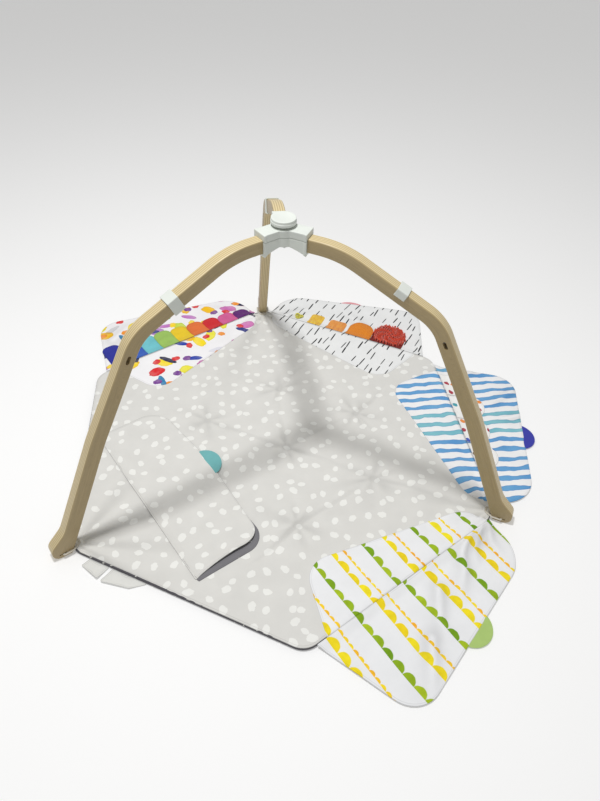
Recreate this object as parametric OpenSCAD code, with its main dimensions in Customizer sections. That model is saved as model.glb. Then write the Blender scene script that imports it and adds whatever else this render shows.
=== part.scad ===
// Activity play gym for a baby: three bent plywood legs meet in a moulded hub that one knob clamps,
// over a six-sided padded mat with five printed play zones, each with a flap hinged on a sewn seam.
// Millimetres, +Z up. The origin is on the floor under the middle of the hub; +Y points at the back leg.

/* [Legs] */
// Height of a leg's top edge where it enters the hub
leg_top_z = 580; // [560:1:600]
// Thickness of the plywood
leg_t = 24.5; // [20:0.5:30]
// Depth of a leg from its outer to its inner edge, down to the knee
leg_depth = 28; // [25:0.5:32]
// How much deeper a leg has grown by the time it reaches its foot
foot_gain = 5; // [0:0.5:8]
// Level run of a leg as it leaves the hub
level_run = 22; // [16:1:30]
// Radius of the shoulder bend
shoulder_r = 200; // [170:5:230]
// Slope of the straight stretch between shoulder and knee, below level
rafter_slope = 25; // [23:0.5:27]
// Length of that straight stretch
rafter_run = 150; // [140:1:165]
// Radius of the knee bend
knee_r = 110; // [90:5:130]
// Slope of the shank under the knee, below level
shank_slope = 61; // [59:0.5:63]
// How far the toe stands out past the point where the shank's line meets the floor
toe_kick = 3; // [0:1:8]
// Height at which the toe starts to kick out
toe_z = 66; // [56:1:76]
// Length of the slot in a leg's side
slot_l = 18; // [14:1:24]
// Width of the slot in a leg's side
slot_w = 7; // [6:0.5:10]
// Height of the middle of that slot
slot_z = 433; // [400:1:440]

/* [Hub and knob] */
// Distance from the hub's middle to the tip of each arm
hub_reach = 54; // [48:1:62]
// Width of an arm
hub_w = 32; // [28:1:38]
// Height of the hub above a leg's top edge
hub_rise = 11; // [8:0.5:14]
// Depth of the hub below a leg's bottom edge at the arm tips
hub_drop = 6; // [4:0.5:9]
// Diameter of the knob
knob_d = 49; // [44:0.5:60]
// Height of the knob's disc
knob_h = 11; // [8:0.5:16]
// Diameter of the clamp stud
stud_d = 9.6; // [8:0.2:12]

/* [Strap clips on the legs] */
// Length of a clip along the leg
clip_l = 23; // [18:1:28]
// Where a clip rests, from the hub's end of the straight stretch
clip_rest = 80; // [70:1:95]
// Wall of a clip
clip_wall = 2.4; // [1.8:0.1:3.2]

/* [Mat] */
// Distance from the middle of the mat to a corner, before rounding
mat_r = 546; // [536:1:548]
// Thickness of the padded mat
mat_t = 9; // [8:0.5:12]
// Rounding of the three corners tied to the legs
tied_corner_r = 60; // [50:1:80]
// Rounding of the three free corners
free_corner_r = 45; // [30:1:60]
// Width of the dark edge binding
binding_w = 4; // [3:0.5:6]

/* [Play zones] */
// Thickness of a flap, two cloths and its thin padding
flap_t = 4; // [3:0.5:5]
// Reach of a flap from its seam at the deep end
flap_deep = 213; // [190:1:220]
// Reach of a flap from its seam at the shallow end
flap_shallow = 108; // [96:1:112]
// Reach of the printed half that lies on the mat, at the deep end
panel_deep = 152; // [130:1:160]
// Width of the flap that lies folded over the mat
focus_w = 476; // [440:1:490]
// Reach of that flap from its seam
focus_deep = 172; // [150:1:178]
// Distance from the mat's middle to that flap's seam
focus_seam = 366; // [360:1:376]
// Width of a pull tab
tab_w = 80; // [64:1:90]
// How far a pull tab stands out
tab_out = 28; // [18:1:30]
// How far the textures flap's tab shows, most of it tucked in
tab_tucked_out = 11; // [8:1:28]
// Length of the colour page nearest the leg
page_short = 45; // [35:1:60]
// How much longer each next colour page is
page_grow = 7; // [0:0.5:9]
// How far a colour page lies over its neighbour
page_lap = 2.6; // [1:0.1:6]

/* [Hidden] */
$fn = 64;
clear = 0.3;                  // gap between pieces that slide or turn past each other
angle_back = 90;
angle_left = 210;
angle_right = 330;
cloth_t = 1;                  // one ply of printed cloth
page_t = 0.8;                 // cloth pages and labels

// Leg and hub levels
leg_bottom_z = leg_top_z - leg_depth;
tenon_h = leg_depth - 8;
tenon_t = leg_t - 7.5;
tenon_in = 22.5;              // the tenon's end stops this far from the hub's middle
tenon_top_z = leg_top_z - 4;
hub_bottom_z = leg_bottom_z - hub_drop;
hub_top_z = leg_top_z + hub_rise;
hub_arch = 13;                // rise of the hub's underside from the tips to the middle
lip_w = 1.2;                  // the arm tips end in a slightly wider lip
lip_l = 5;
core_d = 50;                  // round middle of the hub, which fills the corners between its arms
insert_d = 17;
insert_h = 12;
insert_z = hub_bottom_z + hub_arch + 2.5;
washer_t = 1.2;
neck_d = 34;
neck_h = 3;
knob_z = hub_top_z + washer_t + clear;

// Mat and flap levels
cover_t = 1.5;                // top and bottom cloths of the mat
flap_lift = clear;            // flaps lie just clear of the floor
seam_gap = 0.4;
focus_z = mat_t + cloth_t + clear;
focus_shift = -14;            // that flap sits a little off the leg's plane

// Foot
foot_round = 12;
heel_gap = 1;
foot_slot_l = 16;
loop_t = 2;
loop_side = 5;
loop_z = mat_t + clear;
loop_back = 14;               // the strap reaches this far over the mat's corner

// ---- Outline helpers ----

function unit(v) = v / norm(v);

// Points of the arc that rounds the corner b of the path a, b, c with radius r
function corner_arc(a, b, c, r, n = 8) =
    let (
        u = unit(a - b),
        v = unit(c - b),
        half = acos(u * v) / 2,
        centre = b + unit(u + v) * r / sin(half),
        start = b + u * r / tan(half) - centre,
        stop = b + v * r / tan(half) - centre,
        from = atan2(start.y, start.x),
        swing = atan2(stop.y, stop.x) - from,
        sweep = swing > 180 ? swing - 360 : swing < -180 ? swing + 360 : swing
    )
    r == 0 ? [b] : [for (i = [0:n]) centre + r * [cos(from + sweep * i / n), sin(from + sweep * i / n)]];

// A closed outline with each corner rounded by its own radius
function rounded(corners, radii, n = 8) =
    let (count = len(corners))
    [for (i = [0:count - 1])
        each corner_arc(corners[(i + count - 1) % count], corners[i], corners[(i + 1) % count], radii[i], n)];

// ---- Leg outline, in its own plane: x outwards from the hub's axis, y up ----

// A stretch of path is a list of [length, turn]: straight in one step, an arc in equal steps
function straight(length) = [[length, 0]];
function arc(radius, turn, steps) = [for (i = [1:steps]) [radius * turn * PI / 180 / steps, turn / steps]];

// Walks the path from point p at heading h and gives [point, heading] at each step
function walk(p, h, moves, i = 0) =
    i == len(moves) ? [[p, h]] :
    let (
        turn = moves[i][1],
        heading = h - turn / 2,
        next = p + moves[i][0] * [cos(heading), sin(heading)]
    )
    concat([[p, h]], walk(next, h - turn, moves, i + 1));

knee_steps = 9;
to_knee = walk([hub_reach + clear, leg_top_z], 0, concat(
    straight(level_run),
    arc(shoulder_r, rafter_slope, 7),
    straight(rafter_run),
    arc(knee_r, shank_slope - rafter_slope, knee_steps)));
knee_end = to_knee[len(to_knee) - 1][0];
shank_upper = 190;
shank_turn = 3.5;
shank_bend_r = 400;
shank_bend_drop = shank_bend_r * (cos(shank_slope) - cos(shank_slope + shank_turn));
shank_lower = (knee_end.y - toe_z - shank_upper * sin(shank_slope) - shank_bend_drop)
    / sin(shank_slope + shank_turn);
shank = walk(knee_end, -shank_slope, concat(
    straight(shank_upper),
    arc(shank_bend_r, shank_turn, 3),
    straight(shank_lower)));
outer = concat([for (i = [0:len(to_knee) - 2]) to_knee[i]], shank);

// Running length of the path up to its station i, used to let the leg grow towards its foot
function run_to(path, i) = i == 0 ? 0 : norm(path[i][0] - path[i - 1][0]) + run_to(path, i - 1);
knee_run = run_to(outer, len(to_knee) - 1 - knee_steps);
full_run = run_to(outer, len(outer) - 1);
function depth_at(i) =
    let (past = (run_to(outer, i) - knee_run) / (full_run - knee_run))
    leg_depth + foot_gain * max(0, past);
inner = [for (i = [0:len(outer) - 1])
    outer[i][0] + depth_at(i) * [sin(outer[i][1]), -cos(outer[i][1])]];

toe_start = outer[len(outer) - 1][0];
toe_slope = shank_slope + shank_turn;
toe_flare = 45;
heel_start = inner[len(inner) - 1];
heel_r = heel_start.x + heel_start.y / tan(toe_slope);
toe_r = toe_start.x + toe_start.y / tan(toe_slope) + toe_kick;
toe_top = [toe_r, toe_start.y - (toe_r - toe_start.x) * tan(toe_flare)];
leg_outline = concat(
    [for (s = outer) s[0]],
    corner_arc(toe_start, toe_top, [toe_r, 0], 18, 5),
    corner_arc(toe_top, [toe_r, 0], [heel_r, 0], foot_round, 6),
    [[heel_r, 0]],
    [for (i = [len(inner) - 1:-1:0]) inner[i]]);

// The slot in a leg's side follows the shank
slot_r = knee_end.x + (knee_end.y - slot_z) / tan(shank_slope) - leg_depth / 2 / sin(shank_slope);
// The slot for the mat's strap sits just above the heel
foot_slot_r = heel_r + 11;

rafter_start = to_knee[len(to_knee) - 2 - knee_steps][0];
clip_from = rafter_start + clip_rest * [cos(rafter_slope), -sin(rafter_slope)];

module at_leg(angle) rotate([0, 0, angle]) children();

// Extrudes an outline drawn in a leg's plane to the thickness t, about that plane
module upright(t) rotate([90, 0, 0]) translate([0, 0, -t / 2]) linear_extrude(t) children();

module stadium(length, width)
    polygon(rounded(
        [[-length / 2, -width / 2], [length / 2, -width / 2], [length / 2, width / 2], [-length / 2, width / 2]],
        [for (i = [1:4]) width / 2 - 0.01]));

module leg(angle) color("tan") at_leg(angle) difference() {
    union() {
        upright(leg_t) polygon(leg_outline);
        translate([tenon_in, -tenon_t / 2, tenon_top_z - tenon_h])
            cube([hub_reach + clear - tenon_in + 1, tenon_t, tenon_h]);
    }
    upright(leg_t + 2) translate([slot_r, slot_z]) rotate(-shank_slope) stadium(slot_l, slot_w);
    upright(leg_t + 2) translate([foot_slot_r, loop_z - 0.5])
        square([foot_slot_l, loop_t + 1]);
}

// ---- Hub: a moulded body with three sockets, closed by a cap that the knob pulls down ----

function arch(r) = hub_bottom_z + hub_arch * (1 - pow(r / hub_reach, 2));

module hub_arms(from_z, to_z) for (a = [angle_back, angle_left, angle_right]) at_leg(a) {
    translate([0, -hub_w / 2, from_z]) cube([hub_reach, hub_w, to_z - from_z]);
    translate([hub_reach - lip_l, -hub_w / 2 - lip_w, from_z]) cube([lip_l, hub_w + 2 * lip_w, to_z - from_z]);
}

module hub_body() color("whitesmoke") difference() {
    union() {
        hub_arms(hub_bottom_z, tenon_top_z);
        translate([0, 0, arch(0) - 3]) cylinder(d = core_d, h = tenon_top_z - arch(0) + 3);
    }
    for (a = [angle_back, angle_left, angle_right]) at_leg(a) {
        translate([tenon_in - clear, -tenon_t / 2 - clear, tenon_top_z - tenon_h - clear])
            cube([hub_reach, tenon_t + 2 * clear, tenon_h + 1]);
        upright(hub_w + 8) polygon(concat(
            [[-1, hub_bottom_z - 1]],
            [for (i = [0:6]) [hub_reach * i / 6 - (i == 0 ? 1 : 0), arch(hub_reach * i / 6)]],
            [[hub_reach, hub_bottom_z - 1]]));
    }
    translate([0, 0, insert_z]) cylinder(d = insert_d + 0.4, h = tenon_top_z);
}

module hub_cap() color("whitesmoke") difference() {
    union() {
        hub_arms(tenon_top_z + clear, hub_top_z);
        translate([0, 0, tenon_top_z + clear]) cylinder(d = core_d, h = hub_top_z - tenon_top_z - clear);
    }
    translate([0, 0, tenon_top_z - 1]) cylinder(d = stud_d + 1.2, h = 40);
}

module nut_insert() color("goldenrod") difference() {
    translate([0, 0, insert_z]) cylinder(d = insert_d, h = insert_h);
    translate([0, 0, insert_z - 1]) cylinder(d = stud_d + 0.7, h = insert_h + 2);
}

module clamp_stud() color("silver")
    translate([0, 0, insert_z + 1]) cylinder(d = stud_d, h = knob_z - insert_z - 1);

module washer() color("silver") difference() {
    translate([0, 0, hub_top_z]) cylinder(d = 24, h = washer_t);
    translate([0, 0, hub_top_z - 1]) cylinder(d = stud_d + 1.2, h = washer_t + 2);
}

module knob() color("white") translate([0, 0, knob_z]) rotate_extrude() polygon(concat(
    [[0, 0], [neck_d / 2, 0], [neck_d / 2, neck_h]],
    corner_arc([neck_d / 2, neck_h], [knob_d / 2, neck_h], [knob_d / 2, neck_h + knob_h], 1.2, 4),
    corner_arc([knob_d / 2, neck_h], [knob_d / 2, neck_h + knob_h * 0.55], [0, neck_h + knob_h * 0.55], 1.2, 4),
    [[knob_d / 2 - 1, neck_h + knob_h * 0.55]],
    corner_arc([knob_d / 2 - 1, 0], [knob_d / 2 - 1, neck_h + knob_h], [0, neck_h + knob_h], 1.5, 4),
    [[0, neck_h + knob_h]]));

// ---- Strap clips: a J-shaped band that slides on the straight stretch of each leg ----

module strap_clip(angle) color("white") at_leg(angle)
    translate([clip_from.x, 0, clip_from.y]) rotate([0, rafter_slope, 0])
        rotate([90, 0, 90]) linear_extrude(clip_l) polygon(rounded([
            [-leg_t / 2 - clear - clip_wall, clear + clip_wall],
            [-leg_t / 2 - clear - clip_wall, -leg_depth / 2],
            [-leg_t / 2 - clear, -leg_depth / 2],
            [-leg_t / 2 - clear, clear],
            [leg_t / 2 + clear, clear],
            [leg_t / 2 + clear, -leg_depth - clear],
            [leg_t / 2 - 7, -leg_depth - clear],
            [leg_t / 2 - 7, -leg_depth - clear - clip_wall],
            [leg_t / 2 + clear + clip_wall, -leg_depth - clear - clip_wall],
            [leg_t / 2 + clear + clip_wall, clear + clip_wall]],
            [2, 1, 1, 0, 0, 0, 1, 1, 2, 2], 4));

// ---- Mat ----

// Corner i of the hexagon: even corners are tied to the legs, odd corners are free
function mat_corner(i, r) = r * [cos(90 - 60 * i), sin(90 - 60 * i)];

// How far out the rounded tied corners reach
mat_tip = mat_r - tied_corner_r * (1 / sin(60) - 1);

module mat_outline(inset) polygon(rounded(
    [for (i = [0:5]) mat_corner(i, mat_r - inset / cos(30))],
    [for (i = [0:5]) (i % 2 == 0 ? tied_corner_r : free_corner_r) - inset]));

// The tied corners are notched where the heels of the legs stand
module heel_notches() for (a = [angle_back, angle_left, angle_right]) at_leg(a)
    translate([heel_r - mat_t / tan(toe_slope) - heel_gap, -leg_t / 2 - heel_gap, -1])
        cube([toe_r - heel_r + mat_t + heel_gap, leg_t + 2 * heel_gap, mat_t + 2]);

module mat_layer(from_z, t) difference() {
    translate([0, 0, from_z]) linear_extrude(t) mat_outline(binding_w);
    heel_notches();
}

module mat_underside() color("dimgray") mat_layer(0, cover_t);
module mat_wadding() color("white") mat_layer(cover_t, mat_t - 2 * cover_t);
module mat_top() color("lightgray") mat_layer(mat_t - cover_t, cover_t);

module mat_binding() color("dimgray") difference() {
    linear_extrude(mat_t - 0.5) difference() {
        mat_outline(0);
        mat_outline(binding_w);
    }
    heel_notches();
}

// A webbing strap sewn over the mat's corner and threaded through the slot in the foot
module corner_loop(angle) color("ivory") at_leg(angle) translate([0, 0, loop_z]) linear_extrude(loop_t)
    difference() {
        from = min(heel_r, mat_tip) - loop_back - 6;
        half = leg_t / 2 + 0.7;
        translate([from, -half - loop_side]) square([foot_slot_r + foot_slot_l - 1 - from, 2 * (half + loop_side)]);
        translate([from + 10, -half]) square([foot_slot_r + 1 - from - 10, 2 * half]);
    }

// ---- Play zones ----

// Local frame of a zone on a side of the mat: origin at the free corner, x along the edge towards the
// leg's corner, y outwards. Two of the four are mirror images.
module on_side(free, tied, flip) {
    from = mat_corner(free, mat_r);
    along = mat_corner(tied, mat_r) - from;
    translate([from.x, from.y, 0]) rotate(atan2(along.y, along.x))
        if (flip) mirror([0, 1, 0]) children(); else children();
}

module on_colours() on_side(5, 0, false) children();
module on_textures() on_side(1, 0, true) children();
module on_waves() on_side(1, 2, false) children();
module on_scallops() on_side(3, 2, true) children();
module on_focus() rotate(angle_left) translate([focus_seam, 0, 0]) rotate(90)
    translate([focus_shift, 0, 0]) children();

seam_from = 26;
seam_to = mat_r - 28;
deep_round = 62;
shallow_round = 85;
deep_corner = [seam_from + 70, flap_deep];
shallow_corner = [seam_to - 8, flap_shallow];
edge_slope = atan2(flap_shallow - flap_deep, shallow_corner.x - deep_corner.x);

module flap_outline() polygon(rounded(
    [[seam_from, seam_gap], [seam_to, seam_gap], shallow_corner, deep_corner],
    [0, 0, shallow_round, deep_round], 12));

module flap_ply(from_z, t) translate([0, 0, from_z]) linear_extrude(t) flap_outline();
module print_ply() flap_ply(flap_lift + flap_t / 2, flap_t / 2);
module lining_ply() flap_ply(flap_lift, flap_t / 2);

// The printed half that stays on the mat mirrors the flap, so that the flap covers it when it is closed
module panel_ply() translate([0, 0, mat_t]) linear_extrude(cloth_t) polygon(rounded(
    [[50, -binding_w], [108, -panel_deep], [seam_to - 28, -52], [seam_to - 2, -binding_w]],
    [0, 58, 70, 0], 12));

// A half-round pull tab sewn into a free edge; x is along that edge
module pull_tab(from_z, w = tab_w, out = tab_out) translate([0, 0, from_z]) linear_extrude(cloth_t + 0.5) {
    tab_r = (pow(w / 2, 2) + pow(out, 2)) / (2 * out);
    half = asin(w / 2 / tab_r);
    polygon([for (i = [0:16])
        let (a = -half + 2 * half * i / 16)
        [tab_r * sin(a), tab_r * cos(a) - tab_r + out]]);
}

module edge_tab(x, w = tab_w, out = tab_out)
    translate([x, flap_deep + (x - deep_corner.x) * tan(edge_slope), 0]) rotate(edge_slope)
        pull_tab(flap_lift + flap_t / 2, w, out);

module focus_outline() polygon(rounded(
    [[-focus_w / 2, seam_gap], [focus_w / 2, seam_gap], [focus_w / 2 + 2, focus_deep - 6],
        [-20, focus_deep + 12], [-focus_w / 2 - 2, focus_deep - 6]],
    [0, 0, 48, 600, 60], 10));
module focus_ply(from_z, t) on_focus() translate([0, 0, from_z]) linear_extrude(t) focus_outline();
module focus_panel_ply() on_focus() translate([0, 0, mat_t]) linear_extrude(cloth_t) polygon(rounded(
    [[-focus_w / 2 + 10, 0], [focus_w / 2 + 9, 0], [focus_w / 2 + 8, focus_deep + 2],
        [-focus_w / 2 + 12, focus_deep - 14]],
    [0, 0, 45, 50]));

module panel_colours() color("lavender") on_colours() panel_ply();
module panel_textures() color("snow") on_textures() panel_ply();
module panel_waves() color("lightskyblue") on_waves() panel_ply();
module panel_scallops() color("khaki") on_scallops() panel_ply();
module panel_focus() color("darkslategray") focus_panel_ply();

module flap_colours() color("thistle") on_colours() print_ply();
module flap_textures() color("snow") on_textures() print_ply();
module flap_waves() color("steelblue") on_waves() print_ply();
module flap_scallops() color("yellow") on_scallops() print_ply();
module flap_focus() color("darkslategray") focus_ply(focus_z, flap_t / 2);

module lining_colours() color("lightgray") on_colours() lining_ply();
module lining_textures() color("lightgray") on_textures() lining_ply();
module lining_waves() color("lightgray") on_waves() lining_ply();
module lining_scallops() color("lightgray") on_scallops() lining_ply();
module lining_focus() color("lightgray") focus_ply(focus_z + flap_t / 2, flap_t / 2);

module tab_textures() color("pink") on_textures() edge_tab(306, tab_w - 12, tab_tucked_out);
module tab_waves() color("mediumblue") on_waves() edge_tab(318);
module tab_scallops() color("yellowgreen") on_scallops() edge_tab(300);
module tab_focus() color("mediumturquoise") on_focus()
    translate([-16, focus_deep + 10.3, 0]) pull_tab(focus_z + flap_t / 2);

// ---- Cloth pages on the flaps, each sewn into the seam at one end ----

page_z = flap_lift + flap_t + 0.1;
page_pitch = (seam_to - seam_from - 38) / 9;

// A page w wide and l long with a round outer end; odd pages lie under their neighbours
module page(x, w, l, level = 0) translate([x, seam_gap + 0.6, page_z + level * (page_t + 0.1)])
    linear_extrude(page_t) polygon(rounded(
        [[-w / 2, 0], [w / 2, 0], [w / 2, l], [-w / 2, l]],
        [0, 0, w / 2 - 1, w / 2 - 1], 10));

// Colour page number i, counted from the leg's end of the seam
module colour_page(i) on_colours()
    page(seam_to - 12 - (i + 0.5) * page_pitch, page_pitch + page_lap, page_short + i * page_grow, i % 2);

module page_purple() color("indigo") colour_page(0);
module page_pink() color("hotpink") colour_page(1);
module page_red() color("crimson") colour_page(2);
module page_orange() color("orangered") colour_page(3);
module page_yellow() color("gold") colour_page(4);
module page_green() color("yellowgreen") colour_page(5);
module page_cyan() color("turquoise") colour_page(6);
module page_blue() color("royalblue") colour_page(7);
module page_navy() color("midnightblue") colour_page(8);

module texture_knot() color("yellowgreen") on_textures() page(431, 30, 42);
module texture_yellow_satin() color("gold") on_textures() page(375, 42, 56);
module texture_orange_satin() color("orange") on_textures() page(307, 54, 54);
module texture_corduroy() color("darkorange") on_textures() page(232, 76, 78);
module texture_chenille() color("firebrick") on_textures() page(144, 98, 98);

module peek_first() color("white") on_waves() page(112, 84, 84);
module peek_second() color("white") on_waves() page(199, 86, 90);
module peek_third() color("white") on_waves() page(286, 84, 74);
module peek_fourth() color("white") on_waves() page(372, 80, 66);

// Two blank care labels sewn into the edge beside the left leg; x runs from that leg's corner
module on_label_edge() on_side(4, 3, true) children();
module care_label_long() color("white") on_label_edge() translate([0, 0, flap_lift]) linear_extrude(page_t)
    polygon([[112, seam_gap], [196, seam_gap], [168, 24], [106, 35]]);
module care_label_short() color("white") on_label_edge() translate([0, 0, flap_lift]) linear_extrude(page_t)
    polygon([[56, seam_gap], [104, seam_gap], [98, 33], [50, 20]]);

hub_body();
hub_cap();
nut_insert();
clamp_stud();
washer();
knob();
leg(angle_back);  // leg_back
leg(angle_left);  // leg_left
leg(angle_right);  // leg_right
strap_clip(angle_back);  // clip_back
strap_clip(angle_left);  // clip_left
strap_clip(angle_right);  // clip_right
corner_loop(angle_back);  // corner_loop_back
corner_loop(angle_left);  // corner_loop_left
corner_loop(angle_right);  // corner_loop_right
mat_underside();
mat_wadding();
mat_top();
mat_binding();
panel_colours();
panel_textures();
panel_waves();
panel_scallops();
panel_focus();
flap_colours();
flap_textures();
flap_waves();
flap_scallops();
flap_focus();
lining_colours();
lining_textures();
lining_waves();
lining_scallops();
lining_focus();
tab_textures();
tab_waves();
tab_scallops();
tab_focus();
page_purple();
page_pink();
page_red();
page_orange();
page_yellow();
page_green();
page_cyan();
page_blue();
page_navy();
texture_knot();
texture_yellow_satin();
texture_orange_satin();
texture_corduroy();
texture_chenille();
peek_first();
peek_second();
peek_third();
peek_fourth();
care_label_long();
care_label_short();
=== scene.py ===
import math

import bmesh
import bpy
import numpy as np
from mathutils import Matrix, Vector


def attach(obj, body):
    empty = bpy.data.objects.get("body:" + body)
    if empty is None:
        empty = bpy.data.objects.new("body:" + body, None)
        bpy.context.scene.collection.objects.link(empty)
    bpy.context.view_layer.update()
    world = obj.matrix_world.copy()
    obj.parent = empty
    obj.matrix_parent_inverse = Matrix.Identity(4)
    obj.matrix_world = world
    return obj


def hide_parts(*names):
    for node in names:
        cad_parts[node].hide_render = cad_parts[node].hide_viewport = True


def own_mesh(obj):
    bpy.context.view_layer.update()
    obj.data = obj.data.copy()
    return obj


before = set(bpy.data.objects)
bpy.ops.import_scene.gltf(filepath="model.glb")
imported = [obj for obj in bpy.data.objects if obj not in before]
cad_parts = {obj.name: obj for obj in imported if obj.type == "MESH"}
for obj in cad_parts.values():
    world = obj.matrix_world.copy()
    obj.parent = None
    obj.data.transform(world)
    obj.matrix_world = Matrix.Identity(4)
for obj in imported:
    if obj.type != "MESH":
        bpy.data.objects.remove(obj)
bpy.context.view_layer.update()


# ---- Stage ----
# A pale floor just under the mat, even light from all round and one soft lamp overhead, a little to the
# left, that throws the legs' shadows across the mat.

bpy.context.scene.view_settings.view_transform = "Standard"
EYE = Vector((-0.1132, -1.0286, 1.1416))
LOOK = Vector((0.1118, 0.7103, -0.6950)).normalized()
ROLL = math.radians(3.10)
across = LOOK.cross((0, 0, 1)).normalized()
upward = across.cross(LOOK)
right = across * math.cos(ROLL) + upward * math.sin(ROLL)
top_way = upward * math.cos(ROLL) - across * math.sin(ROLL)
camera = bpy.data.objects.new("camera", bpy.data.cameras.new("camera"))
camera.data.lens, camera.data.sensor_width = 27.42, 36
camera.matrix_world = Matrix.Translation(EYE) @ Matrix((right, top_way, -LOOK)).transposed().to_4x4()
bpy.context.scene.collection.objects.link(camera)
bpy.context.scene.camera = camera

FILL, BACKDROP = 0.44, 0.88
world = bpy.data.worlds.new("studio")
world.use_nodes = True
nodes, links = world.node_tree.nodes, world.node_tree.links
nodes["Background"].inputs["Color"].default_value = (1, 0.995, 0.98, 1)
nodes["Background"].inputs["Strength"].default_value = FILL
shown, seen, either = (nodes.new("ShaderNode" + kind) for kind in ("Background", "LightPath", "MixShader"))
shown.inputs["Strength"].default_value = BACKDROP
links.new(seen.outputs["Is Camera Ray"], either.inputs[0])
links.new(nodes["Background"].outputs[0], either.inputs[1])
links.new(shown.outputs[0], either.inputs[2])
links.new(either.outputs[0], nodes["World Output"].inputs["Surface"])
bpy.context.scene.world = world

SHADOW_SPOT = Vector((0.094, 0.019, 0.009))
lamp = bpy.data.objects.new("lamp", bpy.data.lights.new("lamp", "AREA"))
lamp.data.energy, lamp.data.size = 38, 0.28
lamp.location = SHADOW_SPOT + (Vector((0, 0, 0.58)) - SHADOW_SPOT) * 4.4
lamp.rotation_mode = "QUATERNION"
lamp.rotation_quaternion = (SHADOW_SPOT - lamp.location).to_track_quat("-Z", "Y")
bpy.context.scene.collection.objects.link(lamp)


def rgb(red, green, blue):
    """A colour from its 0 to 255 screen values, made linear: ((v / 255 + 0.055) / 1.055) to the power 2.4."""
    return (*[((v / 255 + 0.055) / 1.055) ** 2.4 for v in (red, green, blue)], 1.0)


def finish_of(name, colour, roughness=0.6, **inputs):
    """A node material of one colour: its Principled shader takes the roughness and any other input by name."""
    mat = bpy.data.materials.new(name)
    mat.use_nodes = True
    shader = mat.node_tree.nodes["Principled BSDF"]
    shader.inputs["Base Color"].default_value = colour
    shader.inputs["Roughness"].default_value = roughness
    for key, value in inputs.items():
        shader.inputs[key.replace("_", " ")].default_value = value
    return mat


floor_mesh = bpy.data.meshes.new("floor")
floor_mesh.from_pydata([(x, y, -0.001) for x, y in ((-9, -9), (9, -9), (9, 9), (-9, 9))], [], [(0, 1, 2, 3)])
floor = bpy.data.objects.new("floor", floor_mesh)
floor.data.materials.append(finish_of("floor_paint", rgb(226, 226, 226), 0.9, Emission_Color=(1, 1, 1, 1),
                                      Emission_Strength=0.22))
bpy.context.scene.collection.objects.link(floor)


# ---- Legs ----
# Three bent legs of 24.5 mm beech plywood, cut so that the veneer faces the sides and the plies run
# along the outer and inner edges. Eased edges, a flared toe, a strap slot near the knee, one in the foot.

LEG_ANGLE = {"back": 90, "left": 210, "right": 330}
LEG_T, LEG_DEPTH, FOOT_GAIN, LEG_TOP = 0.0245, 0.028, 0.005, 0.580
HUB_REACH, TENON_IN, TENON_T, TENON_H = 0.054, 0.0225, 0.017, 0.020
TOE_Z, TOE_KICK, TOE_FLARE = 0.066, 0.003, math.radians(45)
SHANK_SLOPE, SHANK_TURN = math.radians(61), math.radians(3.5)
TOE_SLOPE = SHANK_SLOPE + SHANK_TURN
EASE = 0.0028


class Signal:
    """A shader node's output that works like a number, a vector or a colour: +, -, *, /, //, ** and abs
    each make a Math node, or a Vector Math node where it is a vector or a colour."""

    def __init__(self, mat, socket):
        self.mat, self.socket = mat, socket
        self.plain = socket.type == "VALUE"

    def __add__(self, other):
        return calc("ADD", self, other)

    def __sub__(self, other):
        return calc("SUBTRACT", self, other)

    def __mul__(self, other):
        if self.plain or isinstance(other, tuple):
            return calc("MULTIPLY", self, other)
        return add(self, "VectorMath", {0: self, "Scale": other}, operation="SCALE")[0]

    def __truediv__(self, other):
        return calc("DIVIDE", self, other)

    def __floordiv__(self, other):
        return calc("FLOOR", self / other)

    def __pow__(self, other):
        return calc("POWER", self, other)

    def __abs__(self):
        return calc("ABSOLUTE", self)


def add(owner, kind, inputs=(), **settings):
    """Adds one shader node to a material, or to a signal's material: settings are its properties, inputs
    go by name or number to a value or a signal. Gives the node's outputs as signals, by name and number."""
    mat = getattr(owner, "mat", owner)
    made = mat.node_tree.nodes.new("ShaderNode" + kind)
    for key, value in settings.items():
        setattr(made, key, value)
    for key, value in dict(inputs).items():
        socket = made.inputs[key]
        if isinstance(value, Signal):
            mat.node_tree.links.new(value.socket, socket)
        else:
            socket.default_value = value[:3] if socket.type == "VECTOR" else value
    signals = [Signal(mat, socket) for socket in made.outputs]
    return {**dict(enumerate(signals)), **{signal.socket.name: signal for signal in signals}}


def calc(operation, first, *others):
    """One sum of a signal and other signals or numbers."""
    kind = "Math" if first.plain else "VectorMath"
    return add(first, kind, enumerate((first, *others)), operation=operation)[0]


def mix(share, first, second):
    """The first colour at share 0, the second at 1."""
    return add(share, "Mix", {0: share, 6: first, 7: second}, data_type="RGBA")[2]


def under(value, limit, soft):
    """1 where value is under limit, easing to 0 as it passes it."""
    return add(value, "MapRange", {0: value, 1: limit - soft, 2: limit + soft, 3: 1.0, 4: 0.0},
               interpolation_type="SMOOTHSTEP")[0]


def noise(where, size, detail=3.0, rough=0.5):
    """Soft noise about 0.5 whose patches are about size across, in metres."""
    return add(where, "TexNoise", {"Vector": where, "Scale": 1 / size, "Detail": detail, "Roughness": rough})[0]


def stretched(where, *scale):
    """Coordinates multiplied by a scale for each axis."""
    return add(where, "Mapping", {"Vector": where, "Scale": scale})[0]


def into(mat, **sockets):
    """Joins signals to the inputs of the material's Principled shader."""
    shader = mat.node_tree.nodes["Principled BSDF"]
    for key, signal in sockets.items():
        mat.node_tree.links.new(signal.socket, shader.inputs[key.replace("_", " ")])


def relief_from(height, depth):
    """The normal of a surface raised by depth metres where height is 1."""
    return add(height, "Bump", {"Height": height, "Distance": depth})["Normal"]


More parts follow.
